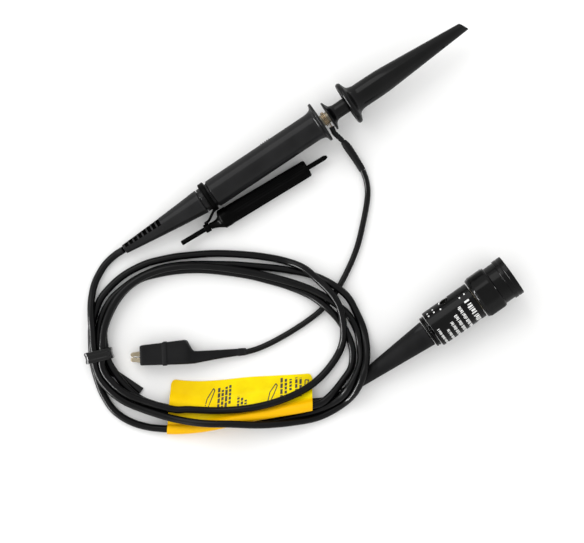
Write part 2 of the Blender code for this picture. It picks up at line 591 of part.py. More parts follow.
def swept(name, points, radius, material, parent=None, sides=8):
    """A round mesh bar along points."""
    rings = []
    for i, point in enumerate(points):
        ahead = (points[min(i + 1, len(points) - 1)] - points[max(i - 1, 0)]).normalized()
        side = ahead.cross(Vector((0, 0, 1))).normalized()
        up = side.cross(ahead)
        turns = [math.tau * k / sides for k in range(sides)]
        rings.append([point + side * radius * math.cos(a) + up * radius * math.sin(a) for a in turns])
    return skinned(name, rings, material, parent)


# ---- Connector with its compensation box --------------------------------------------
def build_plug(looks, plug):
    black, metal = looks["black_plastic"], looks["nickel"]
    slotted_relief(
        "plug_strain_relief",
        (PLUG_RELIEF_END, PLUG_TIP_R, PLUG_RELIEF_R, 0, 0),
        (math.radians(62), math.radians(80), 2.1, 1.1, 0.35, 5),
        (-0.4, PLUG_TAIL_Z - 1.65), looks["black_rubber"], plug,
    )
    turned(
        "relief_collar",
        [(COLLAR_START, 0), (COLLAR_START, COLLAR_R - 0.2), (COLLAR_START + 0.2, COLLAR_R), (COLLAR_END - 0.2, COLLAR_R),
         (COLLAR_END, COLLAR_R - 0.2), (COLLAR_END, 1.7), (COLLAR_END + 1.9, 1.7), (COLLAR_END + 1.9, 0)],
        black, plug,
    )
    shell = turned(
        "compensation_box_shell",
        [(BOX_START, 2.0), (BOX_START, BOX_R - 0.3), (BOX_START + 0.3, BOX_R), (BOX_END - 0.3, BOX_R),
         (BOX_END, BOX_R - 0.3), (BOX_END, BOX_BORE_R), (BOX_START + 1.2, BOX_BORE_R), (BOX_START + 1.2, 2.0)],
        black, plug,
    )
    side = axis_empty("trimmer_axis", (TRIMMER_AT, 0, 0), parent=plug)
    aim = Matrix.Rotation(-TRIMMER_SIDE, 4, "X") @ Matrix.Rotation(-math.pi / 2, 4, "Y")
    side.rotation_euler = aim.to_euler()
    cut(shell, turned("trimmer_opening", [(4.6, 0), (4.6, 1.5), (8, 1.5), (8, 0)], black, side, 20))
    screw = turned(
        "trimmer_screw",
        [(3.4, 0), (3.4, 1.15), (5.4, 1.15), (5.6, 0.95), (5.6, 0)], metal, side, 20,
    )
    cut(screw, block("screw_slot", (0.9, 0.4, 3.0), (5.6, 0, 0), metal, side))
    turned("trimmer_capacitor", [(0.9, 0), (0.9, 2.2), (3.1, 2.2), (3.1, 0)], looks["white_insulator"], side, 24)
    block("compensation_board", (11.5, 0.8, 8.6), (45.6, -0.9, 0), looks["board_green"], plug)
    turned(
        "connector_body",
        [(BOX_END - 3.0, 1.9), (BOX_END - 3.0, BOX_BORE_R - 0.2), (BOX_END - 0.2, BOX_BORE_R - 0.2),
         (BOX_END - 0.2, 4.3), (GRIP_START + 3.2, 4.3), (GRIP_START + 3.2, 4.05), (RIM_START + 1.0, 4.05),
         (RIM_START + 1.0, 3.5), (GRIP_START + 1.0, 3.5), (GRIP_START + 1.0, 1.9)],
        metal, plug,
    )
    turned(
        "connector_dielectric",
        [(BOX_END - 1.0, 0.95), (BOX_END - 1.0, 1.6), (GRIP_START + 1.6, 1.6), (GRIP_START + 1.6, 2.4),
         (RIM_START - 1.5, 2.4), (RIM_START - 1.5, 0.95)],
        looks["white_insulator"], plug, 20,
    )
    turned(
        "center_pin",
        [(BOX_END - 4.0, 0), (BOX_END - 4.0, 0.68), (RIM_START + 0.6, 0.68), (RIM_START + 1.6, 0.3), (RIM_START + 1.6, 0)],
        looks["gilt"], plug, 16,
    )
    turned(
        "ground_contact_sleeve",
        [(GRIP_START + 2.4, 2.7), (GRIP_START + 2.4, 3.2), (RIM_START + 1.8, 3.2), (RIM_START + 1.8, 2.7)],
        looks["spring_steel"], plug, 24,
    )
    turned(
        "wave_washer",
        [(GRIP_START + 3.5, 4.35), (GRIP_START + 3.5, 4.8), (GRIP_START + 3.9, 4.8), (GRIP_START + 3.9, 4.35)],
        looks["spring_steel"], plug, 24,
    )
    coupling = turned(
        "coupling_sleeve",
        [(GRIP_START, 4.6), (GRIP_START, GRIP_R - 0.6), (GRIP_START + 0.6, GRIP_R), (GRIP_END - 0.8, GRIP_R),
         (GRIP_END, SKIRT_R + 0.3), (GRIP_END + 0.2, SKIRT_R), (RIM_START - 0.2, SKIRT_R), (RIM_START, RIM_R),
         (PLUG_FRONT - 0.3, RIM_R), (PLUG_FRONT, RIM_R - 0.3), (PLUG_FRONT, MATING_BORE_R),
         (GRIP_START + 3.1, MATING_BORE_R), (GRIP_START + 3.1, 4.6)],
        black, plug,
    )
    for side in (-1, 1):
        slot = (69.7, side * 5.3, 0)
        cut(coupling, block(f"bayonet_slot_{side + 2}", (4.0, 1.6, 2.2), slot, black, plug))


# ---- Cable, its tie and its tag -----------------------------------------------------
def build_cable(looks, line):
    black = looks["black_plastic"]
    tube("main_cable", line, CABLE_R, looks["cord_jacket"])
    tie = axis_empty("tie_axis", (*TIE_PLACE, TIE_HEIGHT), heading=TIE_HEADING)
    across, tall, wall = TIE_INSIDE
    outside = (-across / 2 - wall, across / 2 + wall, tall + 2 * wall, 0, 1.6)
    inside = (-across / 2, across / 2, tall, 0, 1.2)
    band = skinned("cable_tie", [rounded_ring(x, *outside) for x in (-1.9, 1.9)], black, tie)
    cut(band, skinned("tie_opening", [rounded_ring(x, *inside) for x in (-3, 3)], black, tie))
    tail = axis_empty("tie_tail_axis", (*TAIL_PLACE, 0.36), heading=TAIL_HEADING)
    cut(band, block("tie_tail", TAIL_SIZE, (TAIL_SIZE[0] / 2, 0, 0), black, tail), "UNION")


def stretch_between(line, start, end):
    """The part of a line between the places on it that are nearest to two points."""
    ends = []
    for place in (Vector(start), Vector(end)):
        best = None
        for i in range(len(line) - 1):
            spot, share = intersect_point_line(place, line[i], line[i + 1])
            spot = line[i].lerp(line[i + 1], min(max(share, 0.0), 1.0))
            if best is None or (spot - place).length < best[0]:
                best = ((spot - place).length, i, spot)
        ends.append(best)
    (_, first, start), (_, last, end) = ends
    return [start, *line[first + 1: last + 1], end]


def build_tag(looks, line):
    """A sheet wrapped round the cable, whose ends meet in a flag that lies on the table."""
    stretch = stretch_between(line, TAG_START, TAG_END)
    bm = bmesh.new()
    rows = []
    for k, place in enumerate(stretch):
        share = k / (len(stretch) - 1)
        ahead = stretch[min(k + 1, len(stretch) - 1)] - stretch[max(k - 1, 0)]
        side = Vector((-ahead.y, ahead.x, 0.0)).normalized()
        reach = TAG_REACH[0] + (TAG_REACH[1] - TAG_REACH[0]) * share
        first, middle, last = TAG_SHELF
        shelf = first + (middle - first) * min(share * 3, 1) + (last - middle) * max(share * 3 - 1, 0) / 2
        wrap = [math.radians(degrees) for degrees in range(-15, -340, -24)]
        path = [(TAG_RADIUS * math.cos(a), place.z + TAG_RADIUS * math.sin(a)) for a in wrap]
        path += [(2.6, TAG_SHELF_HEIGHT + 0.2 * (place.z - 1.8)), (shelf, TAG_SHELF_HEIGHT)]
        path += [(shelf + 1.2, 2.3), (shelf + 3.4, 0.5), (shelf + 4.6, 0.2), (max(reach, shelf + 5.5), 0.2)]
        row = []
        for i, (p, z) in enumerate(path):
            run = path[min(i + 1, len(path) - 1)][0] - path[max(i - 1, 0)][0]
            rise = path[min(i + 1, len(path) - 1)][1] - path[max(i - 1, 0)][1]
            half = TAG_THICK / 2 / math.hypot(run, rise)
            for sign in (1, -1):
                spot = place + side * (p - sign * rise * half)
                spot.z = z + sign * run * half
                row.append(bm.verts.new(spot * MM))
        rows.append(row)
    pairs = len(rows[0]) // 2
    for first, second in zip(rows, rows[1:]):
        for i in range(pairs - 1):
            for s in (0, 1):
                a, b = 2 * i + s, 2 * i + 2 + s
                bm.faces.new((first[a], first[b], second[b], second[a]))
        for i in (0, pairs - 1):
            bm.faces.new((first[2 * i], first[2 * i + 1], second[2 * i + 1], second[2 * i]))
    for row in (rows[0], rows[-1]):
        for i in range(pairs - 1):
            bm.faces.new((row[2 * i], row[2 * i + 1], row[2 * i + 3], row[2 * i + 2]))
    finish_mesh("yellow_tag", bm, looks["tag_yellow"], None)


def main():
    clear_scene()
    looks = make_looks()
    head = axis_empty("head_axis", (*HEAD_TAIL, HEAD_TAIL_Z), HEAD_TILT)
    along = (PLUG_BOX[0] - PLUG_BOX_AT * math.cos(PLUG_HEADING), PLUG_BOX[1] - PLUG_BOX_AT * math.sin(PLUG_HEADING))
    plug = axis_empty("plug_axis", (*along, PLUG_TAIL_Z), PLUG_TILT, PLUG_HEADING)
    clip = axis_empty("clip_axis", (*CLIP_TIP, CLIP_HEIGHT), heading=CLIP_HEADING)
    build_head(looks, head)
    build_hook_tip(looks, head)
    build_ground(looks, head)
    build_alligator(looks, clip)
    build_tool(looks, head)
    build_plug(looks, plug)
    line = smooth_route(CABLE_ROUTE, CABLE_POINTS)
    for point in line:
        point.z = max(point.z, CABLE_R + 0.02)
    build_cable(looks, line)
    build_tag(looks, line)


main()
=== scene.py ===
"""The looks of an oscilloscope probe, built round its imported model.

Everything is in millimetres until it is multiplied by MM. The probe head, the connector, the
clip and the adjustment tool each have an axis, and their pieces are modelled along its X.
"""

from math import atan, cos, hypot, pi, radians, sin, sqrt, tau

import bmesh
import bpy
from mathutils import Matrix, Vector
from mathutils.geometry import intersect_point_line


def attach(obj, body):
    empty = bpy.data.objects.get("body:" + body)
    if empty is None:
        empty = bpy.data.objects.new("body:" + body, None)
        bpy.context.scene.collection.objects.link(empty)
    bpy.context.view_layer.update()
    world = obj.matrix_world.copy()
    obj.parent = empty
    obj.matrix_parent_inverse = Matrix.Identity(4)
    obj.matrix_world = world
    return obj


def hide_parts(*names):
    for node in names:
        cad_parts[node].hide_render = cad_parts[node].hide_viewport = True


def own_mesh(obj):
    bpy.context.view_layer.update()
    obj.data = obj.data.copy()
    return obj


MM = 0.001
# How near its axis a solid turned piece starts and ends, in mm, and the angle in degrees from
# which an edge is shown sharp.
AXIS_R, SHARP = 0.01, 32
# How far ink stands out of a surface and reaches into it.
INK_LIFT, INK_DEPTH = 0.03, 0.05

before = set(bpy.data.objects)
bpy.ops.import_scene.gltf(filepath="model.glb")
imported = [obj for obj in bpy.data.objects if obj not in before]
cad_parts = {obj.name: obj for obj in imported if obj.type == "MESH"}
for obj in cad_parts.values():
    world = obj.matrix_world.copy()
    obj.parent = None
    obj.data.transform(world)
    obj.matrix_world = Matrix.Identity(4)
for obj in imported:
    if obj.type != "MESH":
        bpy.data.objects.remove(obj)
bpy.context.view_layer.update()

# ---- The model's dimensions ---------------------------------------------------------
HEAD_TAIL = (-69.65, 3.0)
RING_AT, RING_R = 34.0, 5.5
FLANGE_AT, FLANGE_R = 91.6, 7.85
RELIEF_END, RELIEF_TIP_R, RELIEF_R = 31.3, 1.65, 4.4
BODY_START, BODY_END, BODY_R = 36.0, 77.5, 4.95
GROOVE_R, SPIGOT_R, SHELL_BORE_R = 4.25, 3.5, 3.8
GUARD_AT, GUARD_R, GUARD_FRONT = 79.6, 7.3, 80.4
BARREL_R, BARREL_BORE_R = 2.0, 1.4
BARREL_START, BARREL_END = 74.0, 98.0
SWITCH_AT, SWITCH_SIDE = 62.0, radians(112)
BASE_START, BASE_FLANGE_R, NECK_R, NECK_END = 83.4, 5.3, 2.6, 101.0
SLEEVE_START, SLEEVE_BARREL_R, SLEEVE_CONE_START, SLEEVE_END = 90.75, 4.3, 104.7, 138.6
SLEEVE_TIP_R, SLEEVE_BORE_R, SLEEVE_SHOULDER = 1.6, 3.2, 112.0
SPRING_START, SPRING_LENGTH, SPRING_R, SPRING_WIRE_R, SPRING_TURNS = 101.6, 8.6, 1.9, 0.21, 6
CLIP_COIL_START, CLIP_COIL_LENGTH, CLIP_COIL_R, CLIP_WIRE_R, CLIP_COIL_TURNS = 81.2, 1.3, 2.45, 0.2, 2.35
CLIP_SLEEVE_R = 0.86
PLUG_BOX_AT, PLUG_BOX, PLUG_HEADING = 38.8, (4.05, -77.0), radians(1.7)
PLUG_RELIEF_END, PLUG_RELIEF_R, PLUG_TIP_R = 35.9, 4.6, 1.5
COLLAR_START, COLLAR_END, COLLAR_R = 36.2, 37.7, 5.65
BOX_START, BOX_END, BOX_R, BOX_BORE_R = 38.0, 55.8, 6.55, 5.7
GRIP_START, GRIP_END, GRIP_R = 56.4, 63.6, 7.9
SKIRT_R, RIM_START, RIM_R, PLUG_FRONT = 6.95, 67.3, 7.35, 70.7
MATING_BORE_R, BORE_START, BAYONET_AT = 4.95, 59.5, 69.7
TRIMMER_AT, TRIMMER_SIDE = 46.6, radians(68)
TRIMMER_HOLE_R, TRIMMER_R, TRIMMER_TOP, TRIMMER_RING_R = 1.5, 1.15, 5.6, 1.85
CLIP_TIP, CLIP_HEADING, CLIP_HEIGHT = (-88.1, -28.0), radians(-31.1), 3.5
JAW_TIP_R, PIVOT_AT, PIVOT_HOLE_R, PIVOT_R, PIVOT_HALF = 0.75, 13.0, 0.62, 0.5, 2.35
TOOL_REAR, TOOL_HEADING, TOOL_HEIGHT = (-36.4, -5.8), radians(-2.6), 3.2
TOOL_LENGTH, TOOL_REAR_R, TOOL_FRONT_R, TOOL_BORE_R = 34.7, 3.2, 2.95, 0.96
TOOL_BREADTH, TOOL_FLATNESS, TOOL_RIBS, TOOL_RIB_DEPTH = 1.06, 0.94, 27, 0.16
ROD_START, ROD_END, ROD_R, ROD_COLLAR_AT, ROD_COLLAR_R, ARM_R = -15.7, 42.4, 0.84, -5.4, 1.5, 0.62
CABLE_R, LEAD_R = 1.25, 1.0
CORD_PUSHED_IN, LEAD_PUSHED_IN = 0.27, 0.5
TIE_PLACE, TIE_HEIGHT, TIE_HEADING = (-96.93, -21.52), 3.35, radians(70)
TIE_INSIDE = (8.7, 5.5, 0.45)
TAIL_PLACE, TAIL_HEADING = (-99.3, -22.0), radians(-67.6)
TAIL_SIZE = (19.2, 2.65, 0.48)
TAG_START, TAG_END = (-91.5, -55.5, 1.8), (-45.2, -75.6, 4.2)
TAG_RADIUS, TAG_THICK, TAG_REACH = 1.72, 0.22, (17.1, 10.7)
TAG_SHELF, TAG_SHELF_HEIGHT = (9.8, 4.9, 3.4), 2.95
FLAG_CORNER, FLAG_ROWS, FLAG_LEAN = 1.7, 90, radians(4.2)

# ---- Cords: lengths, as measured along their routes -----------------------------------
CABLE_STEPS, LEAD_STEPS, CABLE_ON_TABLE = 5, 8, 1.3

CLIP_SLEEVE_ROUTE = [(12.2, -2.6, 6.9), (12.7, -4.4, 6.0), (13.2, -6.1, 4.8)]
LEAD_BOOT_ROUTE = [(13.35, -6.5, 4.5), (13.6, -10.0, 3.3), (13.7, -13.5, 2.4), (13.6, -18.4, 1.6)]
GROUND_LEAD_ROUTE = [
    (13.6, -18.75, 1.5), (12.7, -22.2, 1.1), (10.6, -26.2, 1.03), (3.8, -33.6, 1.03), (-3.8, -40.4, 1.03),
    (-13.8, -46.6, 1.03), (-19.2, -49.0, 1.03), (-24.2, -50.5, 1.03), (-29.7, -51.1, 1.03),
    (-37.8, -51.1, 1.03), (-45.5, -50.5, 1.03), (-50.6, -49.6, 1.1), (-53.8, -48.6, 1.25),
]
YOKE_ROUTE = [(-41.8, -4.05, 3.3), (-40.0, -3.7, 3.4), (-38.2, -2.7, 3.5), (-35.9, -1.4, 3.8)]

# The cable, from the probe head to the connector: four turns, in the order it was wound.
# A point without a height is where it lies on the table.
CABLE_ROUTE = [
    # out of the strain relief, to the tie
    (-70.2, 4.2, 2.6), (-73.5, 4.3, 1.6), (-78.1, 3.5), (-82.8, 1.3), (-85.4, -0.5), (-87.7, -2.8, 1.6),
    (-89.7, -5.4, 2.6), (-92.2, -9.5, 3.6), (-94.5, -13.7, 3.8), (-96.1, -16.5, 4.2), (-98.2, -20.8, 4.5),
    # first turn, on top of the bundle
    (-99.9, -23.7, 4.6), (-100.5, -25.8, 4.2), (-101.0, -28.9, 3.9), (-100.7, -32.2, 3.8),
    (-100.0, -35.2, 3.8), (-99.0, -38.0, 3.8), (-97.5, -40.9, 3.8), (-94.9, -44.6, 4.0),
    (-92.6, -47.6, 4.4), (-87.0, -54.0, 5.3), (-79.6, -60.4, 7.8), (-71.8, -65.8, 8.3), (-63.8, -71.8, 5.4),
    (-54.4, -77.2, 3.2), (-45.4, -81.0), (-35.8, -81.6, 2.2), (-29.6, -79.8, 6.2), (-24.4, -76.2, 7.2),
    (-20.0, -71.6, 3.8), (-16.4, -64.4), (-15.2, -58.0), (-14.8, -51.6, 3.5), (-16.8, -45.4, 3.9),
    (-21.0, -38.6), (-26.6, -33.0), (-31.4, -28.8), (-36.4, -24.8), (-41.6, -20.8), (-46.8, -17.2),
    (-52.2, -13.6), (-57.8, -10.4), (-63.6, -8.0), (-71.6, -6.6), (-78.0, -6.8), (-82.8, -7.6),
    (-88.4, -10.4), (-92.0, -13.6, 1.4), (-94.8, -17.4, 2.2), (-97.0, -21.6, 2.2),
    # second turn
    (-98.3, -25.0, 2.2), (-98.9, -28.3, 1.9), (-99.1, -31.7, 1.4), (-98.9, -35.4), (-97.9, -39.0),
    (-96.1, -42.8), (-93.1, -46.9), (-85.4, -55.0), (-79.0, -59.6), (-71.4, -65.8), (-63.6, -71.6),
    (-54.8, -75.4), (-45.6, -78.4, 1.4), (-36.2, -79.2, 4.0), (-30.2, -77.2, 6.0), (-23.4, -72.8, 3.4),
    (-20.0, -67.2), (-18.4, -63.0), (-18.0, -56.8), (-19.8, -50.9, 3.5), (-20.8, -48.4, 4.0),
    (-24.0, -42.6, 3.5), (-27.9, -37.3, 3.5), (-33.3, -31.1, 3.5), (-37.7, -26.5, 3.5), (-47.4, -17.8, 3.7),
    (-52.5, -14.0, 3.8), (-58.0, -10.8, 3.8), (-64.0, -8.4, 3.8), (-70.0, -7.2, 3.8), (-76.4, -7.4, 3.8),
    (-81.9, -9.0, 3.8), (-87.9, -12.6, 3.8), (-91.5, -15.9, 3.9), (-96.1, -22.2, 4.6),
    # third turn, over the tag
    (-97.7, -24.4, 4.6), (-98.4, -26.4, 4.4), (-98.6, -28.8, 4.2), (-98.3, -31.6, 4.0), (-97.7, -34.1, 4.0),
    (-96.7, -36.9, 4.0), (-95.7, -38.9, 4.0), (-93.3, -42.2, 4.0), (-89.5, -46.9, 4.4), (-85.1, -51.5, 4.6),
    (-81.8, -53.6, 4.6), (-74.0, -59.2, 4.8), (-65.6, -64.0, 5.8), (-56.8, -67.6, 5.7), (-47.4, -69.8, 4.3),
    (-39.4, -70.0, 1.9), (-31.6, -68.0), (-26.0, -65.0, 1.6), (-22.0, -60.2, 3.8), (-19.0, -52.8, 5.1),
    (-18.8, -47.8, 5.4), (-20.0, -41.6, 4.0), (-21.8, -35.4, 3.7), (-25.6, -30.0, 1.4), (-31.2, -24.4),
    (-38.6, -18.4), (-45.2, -13.8), (-50.8, -10.6), (-56.6, -7.6), (-61.0, -5.8), (-65.6, -4.2),
    (-71.8, -3.2), (-76.6, -3.2), (-81.4, -4.0), (-86.0, -5.5), (-90.1, -8.3), (-93.6, -11.5),
    (-96.4, -15.6, 1.8), (-98.8, -19.8, 2.2),
    # fourth turn, through the tag
    (-100.8, -24.0, 2.2), (-102.4, -28.6), (-103.4, -33.4), (-103.4, -39.8), (-101.2, -45.6),
    (-97.2, -50.8), (-91.0, -55.8, 1.9), (-84.0, -60.0, 2.8), (-76.8, -63.2, 4.7), (-66.2, -67.2, 4.4),
    (-57.4, -71.0, 4.0), (-47.0, -75.4, 4.8), (-42.6, -77.0, 4.2), (-37.8, -76.6, 3.6), (-31.6, -74.8, 1.6),
    (-27.4, -73.0), (-24.2, -69.4), (-22.4, -65.0), (-21.6, -58.6), (-22.4, -52.2, 4.0),
    (-25.0, -44.8, 2.8), (-29.4, -38.0), (-33.6, -32.9), (-38.9, -27.1), (-48.5, -18.6), (-53.8, -14.8),
    (-59.4, -11.6), (-64.9, -9.2), (-70.6, -7.4), (-75.8, -7.4), (-81.7, -9.1), (-88.0, -12.7),
    (-91.6, -16.0, 1.8), (-95.0, -23.2, 2.2),
    # under the tag to the connector
    (-95.5, -24.8, 2.2), (-95.7, -27.0, 2.2), (-95.7, -30.6, 2.2), (-95.4, -34.1, 2.2), (-94.9, -37.1, 2.2),
    (-94.2, -39.9, 2.2), (-93.0, -42.6, 1.9), (-89.8, -47.0), (-84.0, -52.6), (-76.8, -59.0),
    (-68.0, -62.8), (-59.4, -67.0), (-50.8, -71.6), (-45.4, -75.0), (-39.6, -77.8), (-35.2, -78.6, 1.6),
]

HEAD_TILT = atan((FLANGE_R - RING_R) / (FLANGE_AT - RING_AT))
HEAD_TAIL_Z = RING_R / cos(HEAD_TILT) - RING_AT * sin(HEAD_TILT)
PLUG_TILT = atan((GRIP_R - BOX_R) / (GRIP_START - BOX_START))
PLUG_TAIL_Z = BOX_R / cos(PLUG_TILT) - BOX_START * sin(PLUG_TILT)

# ---- Camera and light ---------------------------------------------------------------
CAMERA_AT = (-25.87, -34.03, 548.0)
CAMERA_RIGHT, CAMERA_UP = Vector((0.8335, -0.5526, 0.0)), Vector((0.5526, 0.8335, 0.0))
CAMERA_LENS = 97.9
TABLE_MIDDLE = (-0.026, -0.034, 0.0)
WORLD_STRENGTH, WORLD_EDGE = 1.36, 0.72
# The lights, in metres from the middle of the table: along the two axes above, and up.
KEY_PLACE, KEY_SIZE, KEY_POWER = (-0.5, 0.55, 0.62), (0.7, 0.7), 3.6
FILL_PLACE, FILL_SIZE, FILL_POWER = (-0.8, -0.3, 0.28), (0.8, 0.14), 28.0


def add_camera():
    data = bpy.data.cameras.new("camera")
    data.lens = CAMERA_LENS
    data.clip_start, data.clip_end = 0.01, 10.0
    camera = bpy.data.objects.new("camera", data)
    bpy.context.scene.collection.objects.link(camera)
    turn = Matrix((CAMERA_RIGHT, CAMERA_UP, CAMERA_RIGHT.cross(CAMERA_UP))).transposed().to_4x4()
    camera.matrix_world = Matrix.Translation(Vector(CAMERA_AT) * MM) @ turn
    bpy.context.scene.camera = camera


# ---- Building tools -----------------------------------------------------------------
def axis(place, tilt=0.0, heading=0.0):
    """The matrix of an axis that starts at a place and rises by its tilt."""
    turn = Matrix.Rotation(heading, 4, "Z") @ Matrix.Rotation(-tilt, 4, "Y")
    return Matrix.Translation(Vector(place) * MM) @ turn


def around(sides):
    """The angles of a circle's points."""
    return [tau * i / sides for i in range(sides)]


def link(name, data, look, matrix=None):
    """An object of this data and look, in the scene."""
    if look is not None:
        data.materials.append(look)
    thing = bpy.data.objects.new(name, data)
    bpy.context.scene.collection.objects.link(thing)
    if matrix is not None:
        thing.matrix_world = matrix
    return thing


def mesh_of(name, bm, look, matrix, sharp=SHARP):
    bmesh.ops.remove_doubles(bm, verts=bm.verts, dist=2e-7)
    bmesh.ops.recalc_face_normals(bm, faces=bm.faces)
    mesh = bpy.data.meshes.new(name)
    bm.to_mesh(mesh)
    bm.free()
    mesh.shade_smooth()
    mesh.set_sharp_from_angle(angle=radians(sharp))
    return link(name, mesh, look, matrix)


def belongs(piece, body, slot, *nodes):
    """The piece rides on a body and stands for CAD nodes, which it hides. Its slot is not used."""
    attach(piece, body)
    if nodes:
        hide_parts(*nodes)
    return piece


def softened(corners, radius=0.25, steps=4, closed=True):
    """An outline with each corner rounded. A corner is (station, radius) or has its own
    rounding as a third number."""
    points, count = [], len(corners)
    for i, corner in enumerate(corners):
        spot = Vector(corner[:2])
        if not closed and i in (0, count - 1):
            points.append(spot)
            continue
        before, after = Vector(corners[i - 1][:2]) - spot, Vector(corners[(i + 1) % count][:2]) - spot
        wanted = corner[2] if len(corner) > 2 else radius
        reach = min(wanted, before.length * 0.48, after.length * 0.48)
        start, end = spot + before.normalized() * reach, spot + after.normalized() * reach
        for k in range(steps + 1):
            t = k / steps
            points.append(start * (1 - t) ** 2 + spot * (2 * t * (1 - t)) + end * t**2)
    return points


def skin(rings, close_ends=True, bm=None):
    """A skin over rings of points, each with the same number of points."""
    bm = bm or bmesh.new()
    rows = [[bm.verts.new(Vector(point) * MM) for point in ring] for ring in rings]
    count = len(rows[0])
    for first, second in zip(rows, rows[1:]):
        for i in range(count):
            j = (i + 1) % count
            bm.faces.new((first[i], first[j], second[j], second[i]))
    if close_ends:
        bm.faces.new(rows[0])
        bm.faces.new(rows[-1][::-1])
    return bm


def lathe(outline, sides=96, closed=True, shape=None):
    """A turned skin about X. shape, if given, scales the radius by station and angle."""
    rings = []
    for station, radius in outline:
        ring = []
        for angle in around(sides):
            reach = radius * (shape(station, angle) if shape else 1.0)
            ring.append((station, reach * sin(angle), reach * cos(angle)))
        rings.append(ring)
    if closed:
        rings.append(rings[0])
    return skin(rings, close_ends=not closed)


def turned(name, corners, look, matrix, sides=96, radius=0.2, sharp=SHARP):
    """A turned piece. A hollow one has a closed outline, and a solid one starts and ends
    close to its axis."""
    hollow = corners[0][1] > 0.05
    outline = softened(corners, radius, closed=hollow)
    return mesh_of(name, lathe(outline, sides, hollow), look, matrix, sharp)


def bar(name, points, radius, look, sides=16, matrix=None, caps=True):
    """A round bar along points. radius is a number, or one for each point."""
    places = [Vector(point) for point in points]
    rings, side = [], None
    for i, place in enumerate(places):
        ahead = (places[min(i + 1, len(places) - 1)] - places[max(i - 1, 0)]).normalized()
        if side is None:
            side = ahead.cross(Vector((0, 0, 1)) if abs(ahead.z) < 0.9 else Vector((0, 1, 0)))
        side = (side - ahead * side.dot(ahead)).normalized()
        up = side.cross(ahead)
        size = radius[i] if hasattr(radius, "__len__") else radius
        rings.append([place + side * size * cos(a) + up * size * sin(a) for a in around(sides)])
    return mesh_of(name, skin(rings, caps), look, matrix or Matrix(), 50)


def box_mesh(size, centre=(0, 0, 0), bevel=0.0, segments=3, turn=None):
    bm = bmesh.new()
    bmesh.ops.create_cube(bm, size=1.0)
    move = Matrix.Translation(Vector(centre) * MM) @ (turn or Matrix())
    bmesh.ops.transform(bm, matrix=move @ Matrix.Diagonal((*[s * MM for s in size], 1.0)), verts=bm.verts)
    if bevel:
        shape = {"offset": bevel * MM, "segments": segments, "profile": 0.5, "affect": "EDGES"}
        bmesh.ops.bevel(bm, geom=bm.edges[:], **shape)
    return bm


def block(matrix, size, centre=(0, 0, 0), *more, look=None):
    """A box as an object, to cut away or to join on."""
    bm = box_mesh(size, centre, *more)
    mesh = bpy.data.meshes.new("block")
    bm.to_mesh(mesh)
    bm.free()
    return link("block", mesh, look, matrix)


def carve(piece, cutter, operation="DIFFERENCE"):
    """Takes the cutter away from the piece, or joins it on, for good."""
    modifier = piece.modifiers.new("carve", "BOOLEAN")
    modifier.operation, modifier.solver, modifier.object = operation, "EXACT", cutter
    settle(piece)
    bpy.data.objects.remove(cutter, do_unlink=True)


def settle(piece):
    """Applies the piece's modifiers."""
    bpy.context.view_layer.update()
    graph = bpy.context.evaluated_depsgraph_get()
    mesh = bpy.data.meshes.new_from_object(piece.evaluated_get(graph))
    piece.modifiers.clear()
    piece.data = mesh
    mesh.shade_smooth()
    mesh.set_sharp_from_angle(angle=radians(SHARP))


def soften_edges(piece, width):
    """Rounds the sharp edges of a piece."""
    modifier = piece.modifiers.new("soften", "BEVEL")
    modifier.width, modifier.segments = width * MM, 3
    modifier.limit_method, modifier.angle_limit = "ANGLE", radians(40)
    settle(piece)


def fine_route(points, steps):
    """A smooth curve through a route's points."""
    places = [Vector(point) for point in points]
    places = [places[0] * 2 - places[1], *places, places[-1] * 2 - places[-2]]
    fine = []
    for before, start, end, after in zip(places, places[1:], places[2:], places[3:]):
        gaps = (start - before, end - start, after - end)
        first, span, last = (sqrt(gap.length) for gap in gaps)
        leave = (start - before) / first - (end - before) / (first + span) + (end - start) / span
        arrive = (end - start) / span - (after - start) / (span + last) + (after - end) / last
        for step in range(steps):
            t = step / steps
            fine.append(
                start * (2 * t**3 - 3 * t**2 + 1) + leave * span * (t**3 - 2 * t**2 + t)
                + end * (3 * t**2 - 2 * t**3) + arrive * span * (t**3 - t**2)
            )
    fine.append(places[-2])
    return fine


def round_cord(name, line, radius, look):
    """A cord as a curve of one open spline, with rounded sides."""
    curve = bpy.data.curves.new(name, "CURVE")
    curve.dimensions = "3D"
    curve.bevel_depth = radius * MM
    curve.bevel_resolution = 6
    curve.use_fill_caps = True
    spline = curve.splines.new("POLY")
    spline.points.add(len(line) - 1)
    for place, point in zip(spline.points, line):
        place.co = (*[value * MM for value in point], 1.0)
    spline.use_smooth = True
    return link(name, curve, look)


# ---- Materials ----------------------------------------------------------------------
def add_node(tree, kind, **values):
    node = tree.nodes.new(kind)
    for key, value in values.items():
        setattr(node, key, value)
    return node


def noise(tree, coordinates, scale, detail=4.0, stretch=None):
    """A noise, in cycles per metre, stretched along an axis if asked."""
    node = add_node(tree, "ShaderNodeTexNoise")
    node.inputs["Scale"].default_value = scale
    node.inputs["Detail"].default_value = detail
    source = coordinates
    if stretch:
        mapping = add_node(tree, "ShaderNodeMapping")
        mapping.inputs["Scale"].default_value = stretch
        tree.links.new(coordinates, mapping.inputs["Vector"])
        source = mapping.outputs["Vector"]
    tree.links.new(source, node.inputs["Vector"])
    return node.outputs["Fac"]


def spread(tree, value, low, high, start=0.3, end=0.7):
    node = add_node(tree, "ShaderNodeMapRange")
    for key, number in (("From Min", start), ("From Max", end), ("To Min", low), ("To Max", high)):
        node.inputs[key].default_value = number
    tree.links.new(value, node.inputs["Value"])
    return node.outputs["Result"]


